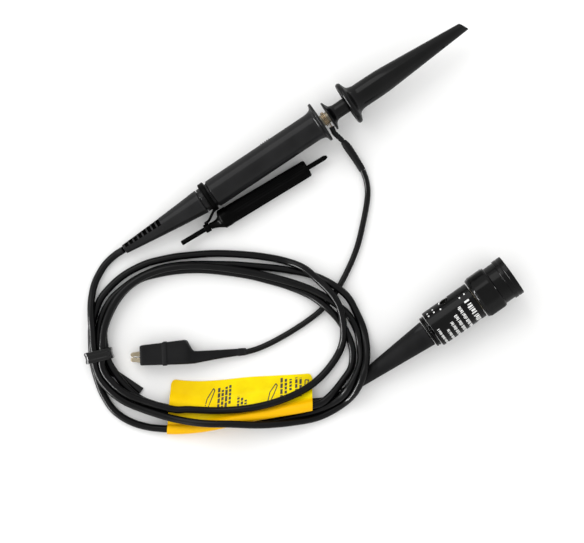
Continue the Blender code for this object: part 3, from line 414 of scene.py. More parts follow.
def mixed(tree, share, first, second):
    node = add_node(tree, "ShaderNodeMix", data_type="RGBA")
    tree.links.new(share, node.inputs["Factor"])
    for socket, colour in ((node.inputs[6], first), (node.inputs[7], second)):
        if isinstance(colour, float):
            socket.default_value = (colour, colour, colour, 1.0)
        elif isinstance(colour, tuple):
            socket.default_value = (*colour, 1.0)
        else:
            tree.links.new(colour, socket)
    return node.outputs[2]


def look(
    name, dark, light, roughness, metallic=0.0, specular=0.5, mottle=140.0, grain=4200.0,
    relief=0.25, depth=0.02, stretch=None, coat=0.0, wear=None,
):
    """A moulded, woven or metal surface: two tones, roughness and a grain that vary over it,
    and lighter worn edges."""
    material = bpy.data.materials.new(name)
    material.use_nodes = True
    tree = material.node_tree
    shader = tree.nodes["Principled BSDF"]
    place = add_node(tree, "ShaderNodeTexCoord").outputs["Object"]
    tone = spread(tree, noise(tree, place, mottle), 0.0, 1.0)
    colour = mixed(tree, tone, dark, light)
    if wear:
        edge = add_node(tree, "ShaderNodeNewGeometry").outputs["Pointiness"]
        edge = spread(tree, edge, 0.0, 0.7, 0.52, 0.62)
        colour = mixed(tree, edge, colour, wear)
    tree.links.new(colour, shader.inputs["Base Color"])
    fine = noise(tree, place, grain, 3.0, stretch)
    matt = spread(tree, noise(tree, place, mottle * 3, 5.0), *roughness)
    tree.links.new(matt, shader.inputs["Roughness"])
    bump = add_node(tree, "ShaderNodeBump")
    bump.inputs["Strength"].default_value = relief
    bump.inputs["Distance"].default_value = depth * MM
    tree.links.new(fine, bump.inputs["Height"])
    tree.links.new(bump.outputs["Normal"], shader.inputs["Normal"])
    finish = {
        "Metallic": metallic, "Specular IOR Level": specular, "Coat Weight": coat, "Coat Roughness": 0.12,
    }
    for key, value in finish.items():
        shader.inputs[key].default_value = value
    return material


def metal(name, dark, light, roughness, relief=0.1, stretch=(0.15, 1, 1), grain=5000.0):
    """A plated metal, with fine marks along its length."""
    return look(name, dark, light, roughness, 1.0, grain=grain, relief=relief, stretch=stretch)


def film_look():
    """Yellow printed film, painted a deeper orange round the cable as shade, and deeper towards the flag's
    first end.
    """
    material = look(
        "tag_film", (0.8, 0.6, 0.0), (0.92, 0.76, 0.0), (0.34, 0.46), grain=900.0, relief=0.15, depth=0.05,
    )
    tree = material.node_tree
    shader = tree.nodes["Principled BSDF"]
    flat = shader.inputs["Base Color"].links[0].from_socket
    # The wrapped attribute paints shade: deeper orange on the film round the cable, fading out across the
    # flag, and deeper towards the flag's first end.
    wrapped = add_node(tree, "ShaderNodeAttribute", attribute_name="wrapped").outputs["Fac"]
    tree.links.new(mixed(tree, wrapped, flat, (0.8, 0.43, 0.0)), shader.inputs["Base Color"])
    shader.inputs["Specular IOR Level"].default_value = 0.08
    return material


def make_looks():
    worn = (0.03, 0.03, 0.031)
    return {
        "body": look(
            "body_plastic", (0.006, 0.006, 0.0063), (0.0105, 0.0105, 0.011), (0.4, 0.56),
            specular=0.03, coat=0.2, wear=worn,
        ),
        "sleeve": look(
            "sleeve_plastic", (0.0008, 0.0009, 0.0009), (0.0024, 0.0024, 0.0026), (0.36, 0.52),
            specular=0.02, coat=0.26, wear=worn,
        ),
        "tool": look("tool_plastic", 0.0003, 0.001, (0.38, 0.52), specular=0.02, coat=0.03),
        "box": look("box_plastic", 0.0006, 0.0018, (0.3, 0.4), specular=0.03, coat=0.2),
        "rubber": look(
            "moulded_rubber", (0.005, 0.005, 0.0053), (0.0088, 0.0088, 0.0092), (0.5, 0.66), specular=0.06,
            grain=3000.0, relief=0.35, wear=worn,
        ),
        # Painted shade: a darker copy of the black, put on the deep faces of the strain reliefs' slots.
        "shade": look("slot_painted_shade", 0.0004, 0.001, (0.6, 0.7), specular=0.02),
        "jacket": look(
            "cable_jacket", (0.001, 0.001, 0.0011), (0.0026, 0.0026, 0.0028), (0.3, 0.42),
            specular=0.06, grain=2600.0, relief=0.12, coat=0.14,
        ),
        "lead": look(
            "lead_jacket", 0.0012, 0.003, (0.28, 0.4), specular=0.06, grain=2600.0, relief=0.12, coat=0.16,
        ),
        "tie": look("tie_nylon", 0.001, 0.002, (0.18, 0.3), specular=0.1, relief=0.15, coat=0.3),
        "brass": metal("jaw_plate", (0.26, 0.22, 0.15), (0.46, 0.4, 0.3), (0.18, 0.3)),
        # A darkened copy of the nickel: painted shade for nickel parts that lie in shadow inside others.
        "shaded_nickel": metal("nickel_painted_shade", (0.1, 0.09, 0.07), (0.2, 0.18, 0.14), (0.3, 0.45), 0.2, None),
        "nickel": metal("nickel_plate", (0.58, 0.56, 0.51), (0.74, 0.72, 0.67), (0.16, 0.3)),
        "gilt": metal("gilt_plate", (0.45, 0.33, 0.19), (0.72, 0.57, 0.38), (0.16, 0.32)),
        "steel": metal(
            "spring_wire", (0.42, 0.42, 0.43), (0.6, 0.6, 0.61), (0.2, 0.34), stretch=(0.1, 1, 1),
            grain=6000.0,
        ),
        "insulator": look(
            "insulator", (0.74, 0.73, 0.69), (0.84, 0.83, 0.8), (0.3, 0.42), grain=2500.0, relief=0.12,
        ),
        "board": look(
            "circuit_board", (0.02, 0.12, 0.05), (0.04, 0.19, 0.08), (0.35, 0.5), grain=2500.0, relief=0.3,
            coat=0.2,
        ),
        "film": film_look(),
        "white_ink_and_highlight": look("white_ink_and_highlight", (0.6, 0.6, 0.59), (0.8, 0.8, 0.79), (0.5, 0.62), mottle=2200.0),
        "dark_ink": look("dark_ink", (0.012, 0.01, 0.008), (0.06, 0.045, 0.01), (0.5, 0.62), mottle=2600.0),
    }


# ---- Probe head ---------------------------------------------------------------------
def slotted_relief(name, sizes, slots, lean, material, shade, matrix, sides=96):
    """A tapered strain relief with slots across one side, whose deep faces carry painted shade.
    The cable bends its thin end aside and down, by the two lengths in lean."""
    length, tip_r, end_r, spigot_r, spigot_end = sizes
    side, half_width, pitch, width, depth, count = slots
    wall = 0.06
    marks = [(0.0, False), (0.12, False), (0.4, False)]
    for i in range(count):
        start = pitch * (i + 0.5)
        marks += [
            (start, False), (start + wall, True), (start + width - wall, True), (start + width, False),
        ]
    station = pitch * count + 0.6
    while station < length - 0.8:
        marks.append((station, False))
        station += 1.6
    marks += [(length - 0.15, False), (length, False)]
    rings = []
    for k, (station, slot_here) in enumerate(marks):
        radius = tip_r + (end_r - tip_r) * station / length
        radius -= 0.12 if k in (0, len(marks) - 1) else 0.0
        aside, down = (part * (1 - station / length) ** 1.4 for part in lean)
        ring = []
        for angle in around(sides):
            off = abs((angle - side + pi) % tau - pi)
            reach = radius * (1 - depth) if slot_here and off < half_width else radius
            ring.append((station, aside + reach * sin(angle), reach * cos(angle) - down))
        rings.append(ring)
    if spigot_r:
        for station in (length, spigot_end):
            rings.append([(station, spigot_r * sin(a), spigot_r * cos(a)) for a in around(sides)])
    relief = mesh_of(name, skin(rings), material, matrix, 38)
    relief.data.materials.append(shade)
    # Faces deep in the slots take the second material, which is painted shade.
    for face in relief.data.polygons:
        station, y, z = face.center / MM
        if 0.1 < station < length - 0.1:
            aside, down = (part * (1 - station / length) ** 1.4 for part in lean)
            radius = tip_r + (end_r - tip_r) * station / length
            face.material_index = int(hypot(y - aside, z + down) < 0.9 * radius)
    return relief


def build_head(looks, head):
    relief = slotted_relief(
        "rear_relief", (RELIEF_END, RELIEF_TIP_R, RELIEF_R, SPIGOT_R, BODY_START + 2.0),
        (radians(52), radians(44), 1.9, 1.35, 0.5, 8), (1.1, HEAD_TAIL_Z - 2.6), looks["body"],
        looks["shade"], head,
    )
    belongs(relief, "probe", "black_rubber", "rear_strain_relief")
    shell = turned(
        "probe_body",
        [
            (RELIEF_END + 0.4, SHELL_BORE_R), (RELIEF_END + 0.4, GROOVE_R),
            (BODY_START - 0.4, GROOVE_R, 0.1), (BODY_START, BODY_R, 0.35), (58.0, BODY_R),
            (BODY_END - 0.4, BODY_R, 1.9), (79.05, 5.5, 1.0), (79.5, GUARD_R - 0.1, 0.3),
            (GUARD_AT + 0.1, GUARD_R, 0.2), (GUARD_FRONT, GUARD_R, 0.25), (GUARD_FRONT, BARREL_R + 0.3),
            (76.0, BARREL_R + 0.3), (76.0, SHELL_BORE_R),
        ],
        looks["body"], head, 128,
    )
    slide = Matrix.Rotation(-SWITCH_SIDE, 4, "X")
    carve(shell, block(head, (8.6, 3.0, 4.0), slide @ Vector((SWITCH_AT, 0, BODY_R)), 0.3, 2, slide))
    belongs(shell, "probe", "black_plastic", "probe_body_shell")
    knob = box_mesh((4.6, 2.2, 1.35), (SWITCH_AT - 1.5, 0, BODY_R - 0.6), 0.25)
    slider = mesh_of("switch_slider", knob, looks["body"], None)
    for k in range(5):
        rib = block(None, (0.35, 2.0, 0.5), (SWITCH_AT - 3.1 + 0.8 * k, 0, BODY_R + 0.12), 0.12)
        carve(slider, rib, "UNION")
    slider.data.transform(slide)
    slider.matrix_world = head
    belongs(slider, "range_switch", "black_plastic", "range_switch_slider")
    corners = [
        (BARREL_START, BARREL_BORE_R), (BARREL_START, BARREL_R), (BARREL_END - 0.4, BARREL_R),
        (BARREL_END, BARREL_R - 0.3), (BARREL_END, BARREL_BORE_R),
    ]
    # The barrel takes the darkened nickel, which is painted shade.
    barrel = turned("shield_barrel", corners, looks["shaded_nickel"], head, 64)
    belongs(barrel, "probe", "nickel", "ground_barrel")


def sleeve_shape(station, angle):
    """The hook sleeve's cone has shallow lengthwise flats."""
    share = min(max((station - SLEEVE_CONE_START + 4) / 10, 0.0), 1.0) * (1 - max(station - 130, 0) / 20)
    return 1.0 - 0.012 * share * (0.5 + 0.5 * cos(10 * angle)) ** 3


def coil_line(start, length, radius, turns, first_angle, way):
    """The middle line of a coil about X."""
    line, steps = [], 28
    for i in range(int(turns * steps) + 1):
        angle = first_angle + way * tau * i / steps
        station = start + length * i / (turns * steps)
        line.append((station, radius * sin(angle), radius * cos(angle)))
    return line


def build_hook_tip(looks, head):
    base = turned(
        "hook_collar",
        [
            (BASE_START, BARREL_R + 0.25), (BASE_START, BASE_FLANGE_R, 0.2),
            (BASE_START + 0.55, BASE_FLANGE_R, 0.2), (BASE_START + 0.9, 4.4, 0.5), (84.9, 3.1, 0.9),
            (86.0, NECK_R, 0.8), (NECK_END, NECK_R), (NECK_END, BARREL_R + 0.25),
        ],
        looks["sleeve"], head,
    )
    belongs(base, "hook_tip", "black_plastic", "hook_base")
    corners = [
        (SLEEVE_START + 0.5, SLEEVE_BORE_R), (SLEEVE_START + 0.5, FLANGE_R - 2.2, 0.4),
        (SLEEVE_START, FLANGE_R - 1.5, 0.4), (SLEEVE_START + 0.05, FLANGE_R - 0.35, 0.5),
        (FLANGE_AT, FLANGE_R, 0.8), (92.4, FLANGE_R - 0.3, 0.6), (92.9, 6.2, 0.8), (93.5, 4.9, 1.0),
        (95.2, SLEEVE_BARREL_R, 1.2), (SLEEVE_CONE_START, SLEEVE_BARREL_R, 4.0),
    ]
    for share in (0.2, 0.4, 0.6, 0.8):
        corners.append((
            SLEEVE_CONE_START + share * (SLEEVE_END + 1 - SLEEVE_CONE_START),
            SLEEVE_BARREL_R + share * (SLEEVE_TIP_R - SLEEVE_BARREL_R), 0.5,
        ))
    corners += [
        (SLEEVE_END + 1.0, SLEEVE_TIP_R), (SLEEVE_END + 1.0, 0.95), (SLEEVE_SHOULDER + 1.0, 0.95),
        (SLEEVE_SHOULDER, SLEEVE_BORE_R - 0.4),
    ]
    cone = lathe(softened(corners, 0.15), 160, True, sleeve_shape)
    sleeve = mesh_of("hook_cover", cone, looks["sleeve"], head, 40)
    turn = Matrix.Rotation(radians(27), 4, "Z")
    carve(sleeve, block(head, (6.0, 8.0, 8.0), (SLEEVE_END + 3.0, 0, 0), 0, 1, turn))
    carve(sleeve, block(head, (1.5, 1.2, 1.6), (128.4, -2.45, 1.5), 0.1))
    belongs(sleeve, "hook_sleeve", "black_plastic", "hook_sleeve")
    coil = coil_line(SPRING_START, SPRING_LENGTH, SPRING_R, SPRING_TURNS, 0.0, 1)
    spring = bar("return_spring", coil, SPRING_WIRE_R, looks["steel"], 12, head)
    belongs(spring, "hook_tip", "spring_steel", "hook_spring")
    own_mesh(spring)


# ---- Ground clip, its sleeve and the lead -------------------------------------------
def build_ground_ring(looks, head):
    coil = coil_line(CLIP_COIL_START, CLIP_COIL_LENGTH, CLIP_COIL_R, CLIP_COIL_TURNS, radians(36), -1)
    coil = [head @ (Vector(place) * MM) / MM for place in coil]
    start = Vector(CLIP_SLEEVE_ROUTE[0])
    coil += [coil[-1].lerp(start, share) for share in (0.35, 0.7, 1.0)]
    ring = bar("ground_ring_wire", coil, CLIP_WIRE_R, looks["gilt"], 12)
    belongs(ring, "probe", "gilt", "ground_clip_ring")
    line = [coil[-3], coil[-2], *fine_route(CLIP_SLEEVE_ROUTE, 10)]
    sizes = [CLIP_SLEEVE_R + 0.09 * (i % 6 == 0) for i in range(len(line))]
    cover = bar("clip_wire_sleeve", line, sizes, looks["rubber"], 24)
    belongs(cover, "probe", "black_rubber", "ground_clip_sleeve")
    line = fine_route(LEAD_BOOT_ROUTE, 14)
    sizes = []
    for i in range(len(line)):
        share = i / (len(line) - 1)
        size = 1.5 - 0.3 * share - 0.55 * max(1 - share / 0.3, 0.0) ** 2 - 0.06 * (i % 5 == 0)
        sizes.append(size - 0.1 * (i in (0, len(line) - 1)))
    boot = bar("lead_relief", line, sizes, looks["rubber"], 32)
    belongs(boot, "probe", "black_rubber", "ground_lead_boot")


def rounded_ring(station, low, high, thick, height, corner=0.9, steps=8):
    """A ring of points round a rounded rectangle across X, from its lower edge."""
    ring, half = [], thick / 2
    for y, z, start in ((high, half, 0), (high, -half, 90), (low, -half, 180), (low, half, 270)):
        y += -corner if y == high else corner
        z += -corner if z > 0 else corner
        for step in range(steps + 1):
            angle = radians(start + 90 * step / steps)
            ring.append((station, y + corner * sin(angle), height + z + corner * cos(angle)))
    return ring


def between(sections, step=0.8):
    """Sections close together along a row of sections."""
    rows = []
    for first, second in zip(sections, sections[1:]):
        count = max(1, round((second[0] - first[0]) / step))
        for i in range(count):
            rows.append(tuple(a + (b - a) * i / count for a, b in zip(first, second)))
    return [*rows, sections[-1]]


def pin_ring(radius, height):
    """A ring of points about the clip's pivot."""
    return [(PIVOT_AT + radius * cos(a), radius * sin(a), height) for a in around(32)]


def build_alligator(looks, clip):
    outside = [
        # station, lower and upper edge, thickness, height of the middle, corner
        (3.3, -2.7, 3.6, 5.8, 0.0, 0.8), (3.55, -2.88, 3.82, 6.15, 0.0, 0.9),
        (4.2, -2.92, 3.92, 6.25, 0.0, 0.9), (10.85, -3.0, 4.4, 6.4, 0.0, 0.9),
        (11.0, -3.22, 4.66, 6.85, 0.0, 1.1), (11.25, -3.32, 4.78, 7.0, 0.0, 1.2),
        (12.15, -3.32, 4.8, 7.0, 0.0, 1.2), (12.4, -3.25, 4.7, 6.85, 0.0, 1.1),
        (12.55, -3.05, 4.6, 6.45, 0.0, 0.9), (18.0, -3.1, 5.08, 6.6, 0.0, 1.0),
        (18.7, -3.1, 5.08, 6.6, 0.0, 1.1), (19.4, -3.1, 4.75, 6.35, 0.0, 1.1),
        (21.0, -3.1, 1.7, 4.9, -0.3, 1.1), (21.7, -3.08, 1.15, 4.5, -0.45, 1.0),
        (23.0, -2.9, 1.08, 4.1, -0.65, 1.0), (30.0, -1.9, 1.15, 2.95, -1.25, 0.95),
        (36.6, -1.2, 1.22, 2.35, -2.05, 0.9), (36.9, -1.32, 1.36, 2.55, -2.05, 0.95),
        (39.2, -1.12, 1.36, 2.45, -2.15, 0.95), (39.5, -0.95, 1.2, 2.15, -2.25, 0.8),
    ]
    rings = [rounded_ring(*row) for row in between(outside)]
    boot = mesh_of("clip_boot", skin(rings), looks["rubber"], clip, 40)
    half_turn = [pi * k / 10 for k in range(11)]
    hollow = [
        (2.8, -2.2, 3.2, 5.0, 0.0, 0.6), (17.9, -2.4, 4.2, 5.4, 0.0, 0.6), (19.0, -2.4, 3.2, 4.8, 0.0, 0.6),
    ]
    carve(boot, mesh_of("boot_cut", skin([rounded_ring(*row) for row in hollow]), None, clip))
    belongs(boot, "probe", "black_rubber", "alligator_boot")
    lower = [(JAW_TIP_R * (1 - sin(a)), -0.86 - 0.76 * cos(a)) for a in half_turn]
    upper = [(JAW_TIP_R * (1 - sin(a)), 0.84 + 0.74 * cos(a)) for a in half_turn]
    for tooth in range(6):
        start = 1.5 + 1.45 * tooth
        lower += [(start, -0.12), (start + 0.75, -0.42)]
        upper += [(start + 0.35, 0.34), (start + 1.1, 0.08)]
    lower += [(11.4, -0.25), (11.4, -1.5), (17.4, -1.5), (17.4, -1.9), (3.0, -1.9)]
    upper += [
        (11.9, 0.05), (11.9, -1.0), (14.2, -1.0), (14.2, 1.2), (16.5, 1.4), (16.5, 2.2), (14.0, 2.2),
        (3.0, 1.8),
    ]
    for name, outline, half, body, node in (
        ("fixed_jaw", lower, 1.9, "probe", "lower_jaw"),
        ("moving_jaw", upper, 1.4, "clip_jaw", "upper_jaw"),
    ):
        rings = [[(x, y, z) for x, y in outline] for z in (-half, half)]
        jaw = mesh_of(name, skin(rings), looks["brass"], clip)
        hole = [pin_ring(PIVOT_HOLE_R, z) for z in (-3, 3)]
        carve(jaw, mesh_of("pin_cut", skin(hole), None, clip))
        soften_edges(jaw, 0.28)
        belongs(jaw, body, "nickel", node)
    rim = ((PIVOT_R - 0.1, PIVOT_HALF), (PIVOT_R, PIVOT_HALF - 0.1))
    pin = [pin_ring(r, -z) for r, z in rim] + [pin_ring(r, z) for r, z in reversed(rim)]
    belongs(mesh_of("clip_pin", skin(pin), looks["nickel"], clip), "probe", "nickel", "jaw_pivot_pin")


# ---- Adjustment tool ----------------------------------------------------------------
# The wedge along the blade, at the rear: station, radius and how far aside.
TOOL_WEDGE = [(-0.6, 2.1, -0.55), (-1.7, 1.5, -0.5), (-3.2, 1.2, -0.2), (-4.2, 1.12, 0.0)]


def hub_place():
    """The middle of the tool's ring, on the probe head's axis."""
    along = RING_AT * cos(HEAD_TILT)
    return (HEAD_TAIL[0] + along, HEAD_TAIL[1], HEAD_TAIL_Z + RING_AT * sin(HEAD_TILT))


def build_tool(looks):
    tool = axis((*TOOL_REAR, TOOL_HEIGHT), 0.0, TOOL_HEADING)
    corners = [
        (-1.0, GROOVE_R + 0.12), (-1.0, RING_R - 0.1, 0.3), (-0.55, RING_R, 0.2),
        (-0.2, RING_R - 0.12, 0.1), (0.15, RING_R, 0.1), (1.0, RING_R - 0.1, 0.3), (1.0, GROOVE_R + 0.12),
    ]
    ring = turned("tool_ring", corners, looks["tool"], axis(hub_place(), HEAD_TILT), 96, 0.1)
    line = fine_route(YOKE_ROUTE, 8)
    sizes = [ARM_R - 0.17 * min(i / 6, 1) for i in range(len(line))]
    carve(ring, bar("arm", line, sizes, looks["tool"], 16), "UNION")
    start, end, bore = ROD_COLLAR_AT - 1, ROD_COLLAR_AT + 1, ROD_R + 0.12
    corners = [(start, bore), (start, ROD_COLLAR_R), (end, ROD_COLLAR_R), (end, bore)]
    carve(ring, turned("rod_collar", corners, looks["tool"], tool, 48, 0.3), "UNION")
    belongs(ring, "adjustment_tool", "black_plastic", "tool_clip")
    sides, rings = 216, []
    stations = [0.0, 0.15, 0.5, 1.5, 3.1, 3.3, 3.6, 4.0, 10.0, 16.0, 22.0, 28.0]
    for station in stations + [TOOL_LENGTH - back for back in (1.6, 1.0, 0.4, 0.0)]:
        radius = TOOL_REAR_R + (TOOL_FRONT_R - TOOL_REAR_R) * station / TOOL_LENGTH
        end = min(station, TOOL_LENGTH - station)
        radius -= 0.35 * max(0.0, 1 - end / 0.5) ** 2
        depth = TOOL_RIB_DEPTH if 3.8 < station < TOOL_LENGTH - 1.2 else 0.0
        radius -= 0.1 if station > 3.2 else 0.0
        row = []
        for angle in around(sides):
            reach = radius - depth * (0.5 - 0.5 * cos(TOOL_RIBS * angle)) ** 0.6
            breadth, height = TOOL_BREADTH * reach, TOOL_FLATNESS * reach
            row.append((station, breadth * sin(angle), height * cos(angle)))
        rings.append(row)
    # The rear runs out into the wedge.
    for station, radius, aside in TOOL_WEDGE:
        height = TOOL_FLATNESS * radius
        rings.insert(0, [(station, aside + radius * sin(a), height * cos(a)) for a in around(sides)])
    handle = mesh_of("tool_grip", skin(rings), looks["tool"], tool, 34)
    bore = [(-6, AXIS_R), (-6, TOOL_BORE_R), (40, TOOL_BORE_R), (40, AXIS_R)]
    carve(handle, turned("bore", bore, None, tool, 32, 0.0))
    belongs(handle, "adjustment_tool", "black_plastic", "tool_handle")
    corners = [
        (ROD_START, AXIS_R), (ROD_START, ROD_R, 0.7), (ROD_END - 1.0, ROD_R, 0.3), (ROD_END, 0.4),
        (ROD_END, AXIS_R),
    ]
    blade = turned("tool_blade", corners, looks["tool"], tool, 32, 0.1)
    belongs(blade, "adjustment_tool", "black_plastic", "tool_rod")


# ---- Connector with its compensation box --------------------------------------------
def grip_shape(station, angle):
    """Eight shallow flats on the grip, with rounded corners between them."""
    if not GRIP_START + 0.3 < station < GRIP_END - 0.3:
        return 1.0
    flat = cos(pi / 8) / cos((angle + pi / 8) % (pi / 4) - pi / 8)
    return min(1.0, 1.0 - 0.55 * (1 - flat * 1.02))


def patch(bm, stations, angles, steps=6):
    """A thin patch of ink on the box, for print and for a painted highlight."""
    rows = []
    low, high = stations
    outer, inner = BOX_R + INK_LIFT, BOX_R - INK_DEPTH
    edges = [(low, outer), (high, outer), (high, inner), (low, inner)]
    for k in range(steps + 1):
        angle = angles[0] + (angles[1] - angles[0]) * k / steps
        rows.append([(station, reach * sin(angle), reach * cos(angle)) for station, reach in edges])
    skin(rows, True, bm)


# Printed rows on the box: station, how tall, the angle where it starts and how wide its
# marks are, as a share of the small ones.
BOX_ROWS = [
    (53.0, 1.8, -19, 1.7), (49.6, 1.2, -15, 1.0), (47.1, 1.2, -1, 1.0), (44.7, 1.1, 9, 0.9),
    (42.3, 1.0, 22, 0.9), (39.7, 0.9, 4, 0.8),
]
BOX_TICKS = (3.4, 2.0, 3.0, 1.5, 3.8, 2.6, 1.8)
BOX_MARKS = [(39.6, -62), (39.6, -50), (41.8, -64), (41.8, -51), (44.2, -46), (51.6, -40), (53.6, -42)]


def build_plug(looks, plug):
    relief = slotted_relief(
        "plug_relief", (PLUG_RELIEF_END, PLUG_TIP_R, PLUG_RELIEF_R, 0, 0),
        (radians(62), radians(55), 2.1, 1.1, 0.4, 5), (-0.4, PLUG_TAIL_Z - 1.65), looks["rubber"],
        looks["shade"], plug,
    )
    belongs(relief, "probe", "black_rubber", "plug_strain_relief")
    corners = [
        (COLLAR_START, AXIS_R), (COLLAR_START, COLLAR_R, 0.25), (COLLAR_START + 0.6, COLLAR_R),
        (COLLAR_START + 0.75, COLLAR_R - 0.3), (COLLAR_START + 0.9, COLLAR_R), (COLLAR_END, COLLAR_R, 0.2),
        (COLLAR_END, 1.7), (COLLAR_END + 1.9, 1.7), (COLLAR_END + 1.9, AXIS_R),
    ]
    collar = turned("box_collar", corners, looks["box"], plug, 96, 0.1)
    belongs(collar, "probe", "black_plastic", "relief_collar")
    corners = [
        (BOX_START, 2.0), (BOX_START, BOX_R - 0.1, 0.2), (BOX_START + 0.45, BOX_R, 0.2), (47.0, BOX_R),
        (BOX_END, BOX_R, 0.3), (BOX_END, BOX_BORE_R), (BOX_START + 1.2, BOX_BORE_R), (BOX_START + 1.2, 2.0),
    ]
    shell = turned("box_cover", corners, looks["box"], plug, 128)
    aim = Matrix.Rotation(-TRIMMER_SIDE, 4, "X") @ Matrix.Rotation(-pi / 2, 4, "Y")
    side = plug @ Matrix.Translation((TRIMMER_AT * MM, 0, 0)) @ aim
    hole = [(4.6, AXIS_R), (4.6, TRIMMER_HOLE_R), (8, TRIMMER_HOLE_R), (8, AXIS_R)]
    carve(shell, turned("hole", hole, None, side, 48, 0.0))
    belongs(shell, "probe", "black_plastic", "compensation_box_shell")
    corners = [
        (3.4, AXIS_R), (3.4, TRIMMER_R), (TRIMMER_TOP - 0.1, TRIMMER_R, 0.2),
        (TRIMMER_TOP, TRIMMER_R - 0.2), (TRIMMER_TOP, AXIS_R),
    ]
    screw = turned("trim_screw", corners, looks["nickel"], side, 48, 0.08)
    carve(screw, block(side, (0.9, 0.4, 3.0), (TRIMMER_TOP, 0, 0)))
    belongs(screw, "trimmer", "nickel", "trimmer_screw")
    ink = bmesh.new()
    for row, (station, tall, start, scale) in enumerate(BOX_ROWS):
        angle, tick = start, row
        while angle < 80:
            width = BOX_TICKS[tick % 7] * scale
            low = station - tall / 2 * (0.6 if tick % 3 == 1 else 1.0)
            reach = (-radians(angle), -radians(angle + width))
            patch(ink, (low, station + tall / 2), reach, 3)
            angle += width + (1.7 if tick % 5 else 4.2) * scale
            tick += 1
    for station, degrees in BOX_MARKS:
        angle = -radians(degrees)
        patch(ink, (station - 0.25, station + 0.25), (angle, angle - radians(5)))
    # A white crescent on one side of the trimmer hole: a painted highlight on its lit rim, made of white
    # patches.
    for k in range(14):
        turn = radians(40 + 11 * k)
        station = TRIMMER_AT + TRIMMER_RING_R * cos(turn)
        angle = TRIMMER_SIDE + TRIMMER_RING_R * sin(turn) / BOX_R
        patch(ink, (station - 0.22, station + 0.22), (angle - 0.032, angle + 0.032), 1)
    belongs(mesh_of("box_print_and_highlight", ink, looks["white_ink_and_highlight"], plug), "probe", "black_plastic")
    corners = [
        (GRIP_START - 0.3, 4.6), (GRIP_START - 0.3, GRIP_R - 0.85, 0.3),
        (GRIP_START + 0.35, GRIP_R - 0.35, 0.3), (GRIP_START + 1.0, GRIP_R, 0.5), (60.0, GRIP_R),
        (GRIP_END - 0.7, GRIP_R, 0.4), (GRIP_END - 0.1, GRIP_R - 0.5, 0.2), (GRIP_END + 0.1, SKIRT_R, 0.15),
        (RIM_START - 0.1, SKIRT_R, 0.1), (RIM_START + 0.05, RIM_R, 0.12), (PLUG_FRONT - 2.1, RIM_R, 0.1),
        (PLUG_FRONT - 1.95, RIM_R - 0.14, 0.05), (PLUG_FRONT - 1.75, RIM_R - 0.14, 0.05),
        (PLUG_FRONT - 1.6, RIM_R, 0.1), (PLUG_FRONT, RIM_R, 0.3), (PLUG_FRONT, MATING_BORE_R, 0.3),
        (BORE_START, MATING_BORE_R), (BORE_START, 4.6),
    ]
    rings = lathe(softened(corners, 0.12), 192, True, grip_shape)
    coupling = mesh_of("coupling_ring", rings, looks["box"], plug, 30)
    for sign in (-1, 1):
        carve(coupling, block(plug, (4.0, 1.6, 2.2), (BAYONET_AT, sign * 5.3, 0), 0.3))
    end = PLUG_FRONT + 1.0
    bore = [(BORE_START, AXIS_R), (BORE_START, MATING_BORE_R), (end, MATING_BORE_R), (end, AXIS_R)]
    carve(coupling, turned("bore_cut", bore, None, plug, 192, 0.0))
    belongs(coupling, "coupling", "black_plastic", "coupling_sleeve")


# ---- Tie and tag --------------------------------------------------------------------
# The band's outside: station, and how much thicker it is there.
TIE_OUTSIDE = [
    (-1.9, -0.12), (-1.75, 0.0), (-0.9, 0.0), (-0.7, -0.14), (0.7, -0.14), (0.9, 0.0), (1.75, 0.0),
    (1.9, -0.12),
]


def build_tie(looks):
    tie = axis((*TIE_PLACE, TIE_HEIGHT), 0.0, TIE_HEADING)
    across, tall, wall = TIE_INSIDE
    rings = []
    for station, grow in TIE_OUTSIDE:
        half, height = across / 2 + wall + grow, tall + 2 * (wall + grow)
        rings.append(rounded_ring(station, -half, half, height, 0, 1.8, 10))
    band = mesh_of("tie_band", skin(rings), looks["tie"], tie, 40)
    inside = [rounded_ring(x, -across / 2, across / 2, tall, 0, 1.4, 10) for x in (-3, 3)]
    carve(band, mesh_of("tie_cut", skin(inside), None, tie))
    tail = axis((*TAIL_PLACE, 0.36), 0.0, TAIL_HEADING)
    carve(band, block(tail, TAIL_SIZE, (TAIL_SIZE[0] / 2, 0, 0), 0.12, look=looks["tie"]), "UNION")
    belongs(band, "probe", "black_plastic", "cable_tie")


def stretch_between(line, start, end):
    """The part of a line between the places on it that are nearest to two points."""
    ends = []
    for place in (Vector(start), Vector(end)):
        best = None
        for i in range(len(line) - 1):
            spot, share = intersect_point_line(place, line[i], line[i + 1])
            spot = line[i].lerp(line[i + 1], min(max(share, 0.0), 1.0))
            if best is None or (spot - place).length < best[0]:
                best = ((spot - place).length, i, spot)
        ends.append(best)
    (_, first, start), (_, last, end) = ends
    return [start, *line[first + 1: last + 1], end]


def even(line, count):
    """Points at even distances along a line."""
    reach = [0.0]
    for first, second in zip(line, line[1:]):
        reach.append(reach[-1] + (second - first).length)
    spread_out, at = [], 0
    for i in range(count):
        wanted = reach[-1] * i / (count - 1)
        while at < len(line) - 2 and reach[at + 1] < wanted:
            at += 1
        share = (wanted - reach[at]) / (reach[at + 1] - reach[at])
        spread_out.append(line[at].lerp(line[at + 1], min(max(share, 0), 1)))
    return spread_out


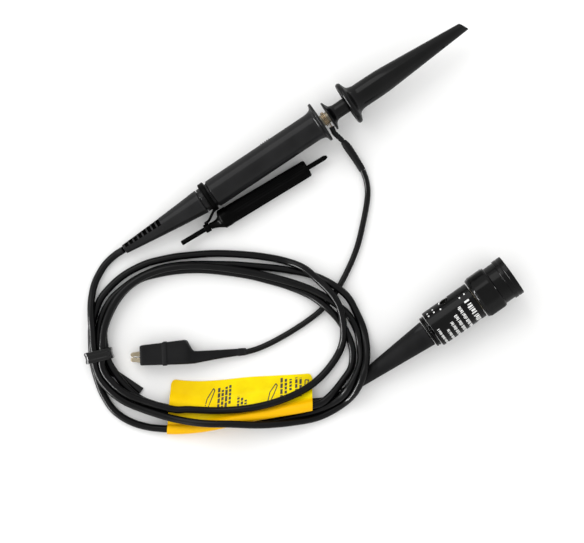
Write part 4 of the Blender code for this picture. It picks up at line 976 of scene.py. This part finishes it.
def tag_section(place, share, edge):
    """The film's middle line across the cable: round it, down over the strands and flat on
    the table, as far as edge."""
    first, middle, last = TAG_SHELF
    shelf = first + (middle - first) * min(share * 3, 1) + (last - middle) * max(share * 3 - 1, 0) / 2
    wrap = [radians(-15 - 8 * k) for k in range(41)]
    path = [(TAG_RADIUS * cos(a), place.z + TAG_RADIUS * sin(a)) for a in wrap]
    start = len(path)
    knots = [
        path[-1], (2.6, TAG_SHELF_HEIGHT + 0.2 * (place.z - 1.8)), (shelf, TAG_SHELF_HEIGHT),
        (shelf + 1.2, 2.3), (shelf + 3.4, 0.5), (shelf + 4.6, 0.2), (max(edge, shelf + 5.5), 0.2),
    ]
    for first, second in zip(knots, knots[1:]):
        path += [tuple(a + (b - a) * k / 4 for a, b in zip(first, second)) for k in range(1, 5)]
    for _ in range(3):
        path[start:-1] = [
            tuple((a + 2 * b + c) / 4 for a, b, c in zip(path[i - 1], path[i], path[i + 1]))
            for i in range(start, len(path) - 1)
        ]
    return path, start


def on_flag(sections, share, across):
    """A place on the flag's upper face: how far along it, and how far from the cable in mm."""
    at = min(max(share, 0.0), 1.0) * (len(sections) - 1)
    row = min(int(at), len(sections) - 2)
    spots = []
    for place, side, path in sections[row: row + 2]:
        height = path[-1][1]
        for (p, z), (p2, z2) in zip(path, path[1:]):
            if p <= across <= p2:
                height = z + (z2 - z) * (across - p) / max(p2 - p, 1e-6)
        spot = place + side * across
        spot.z = height + TAG_THICK / 2
        spots.append(spot)
    return spots[0].lerp(spots[1], at - row)


def stroke(bm, sections, length, start, end, width, steps=6):
    """A printed line on the flag, as a thin plate."""
    along, across = (end[0] - start[0]) * length, end[1] - start[1]
    size = hypot(along, across)
    nudge = (-across / size * width / 2 / length, along / size * width / 2)
    rings = []
    for i in range(steps + 1):
        place = [a + (b - a) * i / steps for a, b in zip(start, end)]
        left = on_flag(sections, place[0] + nudge[0], place[1] + nudge[1])
        right = on_flag(sections, place[0] - nudge[0], place[1] - nudge[1])
        up = Vector((0, 0, 1))
        rings.append([left + up * 0.035, right + up * 0.035, right - up * 0.05, left - up * 0.05])
    skin(rings, True, bm)


# Printed lines on the flag: how far along it, from and to how far across, and the dashes.
TAG_LINES = [
    (0.346, 5.2, 12.2, 1.5), (0.372, 4.8, 11.2, 1.1), (0.398, 4.9, 12.0, 1.8), (0.424, 6.0, 12.3, 1.0),
    (0.486, 3.6, 7.8, 0.7), (0.512, 3.6, 7.0, 0.9), (0.538, 3.6, 6.2, 0.6), (0.785, 3.8, 11.2, 1.6),
    (0.815, 5.6, 10.6, 1.0), (0.848, 6.4, 10.2, 0.8), (0.888, 5.2, 10.4, 1.3), (0.918, 3.8, 10.0, 1.7),
    (0.03, 2.8, 3.2, 0.4), (0.06, 2.8, 3.2, 0.4), (0.09, 2.8, 3.2, 0.4),
]
TAG_FIGURES = [
    [(0.245, 5.0), (0.262, 9.2), (0.305, 12.4), (0.315, 11.6), (0.29, 8.4), (0.262, 4.8)],
    [(0.69, 3.8), (0.705, 7.0), (0.745, 9.6), (0.755, 8.8), (0.735, 6.4), (0.705, 3.6)],
    [(0.945, 4.6), (0.95, 9.0), (0.975, 8.6)],
]


def build_tag(looks, line):
    """Film wrapped round the cable, whose ends meet in a flag with rounded corners."""
    stretch = even(stretch_between(line, TAG_START, TAG_END), FLAG_ROWS)
    length = sum((b - a).length for a, b in zip(stretch, stretch[1:]))
    bm = bmesh.new()
    wrapped = bm.verts.layers.float.new("wrapped")
    rows, sections = [], []
    for k, place in enumerate(stretch):
        share = k / (FLAG_ROWS - 1)
        lean = FLAG_LEAN * (1 - share)
        side = CAMERA_RIGHT * sin(lean) + CAMERA_UP * cos(lean)
        edge = TAG_REACH[0] + (TAG_REACH[1] - TAG_REACH[0]) * share
        inset = FLAG_CORNER - min(share, 1 - share) * length
        if inset > 0:
            edge -= FLAG_CORNER - sqrt(max(FLAG_CORNER**2 - inset**2, 0.0))
        path, start = tag_section(place, share, edge)
        sections.append((place, side, path[start:]))
        row = []
        for i, (p, z) in enumerate(path):
            ahead, behind = path[min(i + 1, len(path) - 1)], path[max(i - 1, 0)]
            run, rise = ahead[0] - behind[0], ahead[1] - behind[1]
            half = TAG_THICK / 2 / hypot(run, rise)
            for sign in (1, -1):
                spot = place + side * (p - sign * rise * half)
                spot.z = z + sign * run * half
                vert = bm.verts.new(spot * MM)
                # How much painted shade: full round the cable, fading over the flag's first few points, and
                # more towards the flag's first end.
                vert[wrapped] = max(0.6 * (1 - 2 * share), min(1.0, 1.0 - (i - start) / 5), 0.0)
                row.append(vert)
        rows.append(row)
    pairs = len(rows[0]) // 2
    for first, second in zip(rows, rows[1:]):
        for i in range(pairs - 1):
            for s in (0, 1):
                a, b = 2 * i + s, 2 * i + 2 + s
                bm.faces.new((first[a], first[b], second[b], second[a]))
        for i in (0, pairs - 1):
            bm.faces.new((first[2 * i], first[2 * i + 1], second[2 * i + 1], second[2 * i]))
    for row in (rows[0], rows[-1]):
        for i in range(pairs - 1):
            bm.faces.new((row[2 * i], row[2 * i + 1], row[2 * i + 3], row[2 * i + 2]))
    tag = mesh_of("tag", bm, looks["film"], Matrix(), 50)
    belongs(tag, "probe", "tag_yellow", "yellow_tag")
    ink = bmesh.new()
    for across, low, high, dash in TAG_LINES:
        at = low
        while at < high:
            stroke(ink, sections, length, (across, at), (across, min(at + dash, high)), 0.85)
            at += dash + 0.32
    for corners in TAG_FIGURES:
        for first, second in zip(corners, corners[1:] + corners[:1]):
            stroke(ink, sections, length, first, second, 0.36)
    belongs(mesh_of("tag_print", ink, looks["dark_ink"], Matrix()), "probe", "tag_yellow")


# ---- Cords --------------------------------------------------------------------------
def reach_out(line):
    """Lengthens a cord's line at both ends, up to the pieces it enters."""
    line[0] += (line[0] - line[1]).normalized() * CORD_PUSHED_IN
    line[-1] += (line[-1] - line[-2]).normalized() * CORD_PUSHED_IN


def build_cords(looks):
    line = fine_route([(*point, CABLE_ON_TABLE)[:3] for point in CABLE_ROUTE], CABLE_STEPS)
    for point in line:
        point.z = max(point.z, CABLE_R + 0.02)
    reach_out(line)
    cable = round_cord("cable", line, CABLE_R, looks["jacket"])
    belongs(cable, "probe", "cord_jacket", "main_cable")
    lead = fine_route(GROUND_LEAD_ROUTE, LEAD_STEPS)
    reach_out(lead)
    lead[-1] += (lead[-1] - lead[-2]).normalized() * LEAD_PUSHED_IN
    wire = round_cord("ground_lead", lead, LEAD_R, looks["lead"])
    belongs(wire, "probe", "cord_jacket", "ground_lead_wire")
    return cable, line, wire, lead


# ---- What stays as modelled, and the studio -----------------------------------------
KEPT = {
    # The connector body takes the darkened nickel, painted shade, as it lies in shadow inside the plug.
    "crimp_ferrule": "nickel", "connector_body": "shaded_nickel", "probe_tip_pin": "gilt", "center_pin": "gilt",
    "hook_socket": "gilt", "hook_wire": "steel", "ground_contact_sleeve": "steel",
    "wave_washer": "steel", "nose_insulator": "insulator", "tip_resistor": "insulator",
    "trimmer_capacitor": "insulator", "connector_dielectric": "insulator", "attenuator_board": "board",
    "compensation_board": "board",
}


def finish_kept(looks):
    for node, kind in KEPT.items():
        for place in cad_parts[node].material_slots:
            place.material = looks[kind]


def add_light(name, reach, size, power, lights_floor=True):
    """A light that looks at the middle of the table."""
    target = Vector(TABLE_MIDDLE)
    place = target + CAMERA_RIGHT * reach[0] + CAMERA_UP * reach[1] + Vector((0, 0, reach[2]))
    data = bpy.data.lights.new(name, "AREA")
    data.shape, data.size, data.size_y = "RECTANGLE", *size
    data.energy = power
    light = bpy.data.objects.new(name, data)
    bpy.context.scene.collection.objects.link(light)
    aim = (target - place).to_track_quat("-Z", "Y")
    light.visible_diffuse = lights_floor
    light.matrix_world = Matrix.Translation(place) @ aim.to_matrix().to_4x4()


def build_studio():
    bm = bmesh.new()
    bmesh.ops.create_grid(bm, x_segments=1, y_segments=1, size=1.5)
    table = look(
        "table_top", (0.84, 0.84, 0.835), (0.86, 0.86, 0.855), (0.7, 0.8), mottle=20.0, relief=0.02,
    )
    floor = mesh_of("floor", bm, table, Matrix.Translation((0, 0, -0.00006)))
    scene = bpy.context.scene
    scene.view_settings.view_transform = "Standard"
    scene.world = bpy.data.worlds.new("studio")
    scene.world.use_nodes = True
    tree = scene.world.node_tree
    height = add_node(tree, "ShaderNodeSeparateXYZ")
    tree.links.new(add_node(tree, "ShaderNodeTexCoord").outputs["Generated"], height.inputs[0])
    share = spread(tree, height.outputs["Z"], 0.0, 1.0, 0.25, 1.0)
    colour = mixed(tree, share, 1.0, WORLD_EDGE)
    tree.links.new(colour, tree.nodes["Background"].inputs["Color"])
    tree.nodes["Background"].inputs["Strength"].default_value = WORLD_STRENGTH
    add_light("key", KEY_PLACE, KEY_SIZE, KEY_POWER)
    add_light("fill", FILL_PLACE, FILL_SIZE, FILL_POWER, False)


# ---- The scene ----------------------------------------------------------------------
add_camera()
looks = make_looks()
cords = build_cords(looks)
head_axis = axis((*HEAD_TAIL, HEAD_TAIL_Z), HEAD_TILT)
plug_start = (
    PLUG_BOX[0] - PLUG_BOX_AT * cos(PLUG_HEADING), PLUG_BOX[1] - PLUG_BOX_AT * sin(PLUG_HEADING),
    PLUG_TAIL_Z,
)
plug_axis = axis(plug_start, PLUG_TILT, PLUG_HEADING)
clip_axis = axis((*CLIP_TIP, CLIP_HEIGHT), 0.0, CLIP_HEADING)
build_head(looks, head_axis)
build_hook_tip(looks, head_axis)
build_ground_ring(looks, head_axis)
build_alligator(looks, clip_axis)
build_tool(looks)
build_plug(looks, plug_axis)
build_tie(looks)
build_tag(looks, cords[1])
finish_kept(looks)
build_studio()
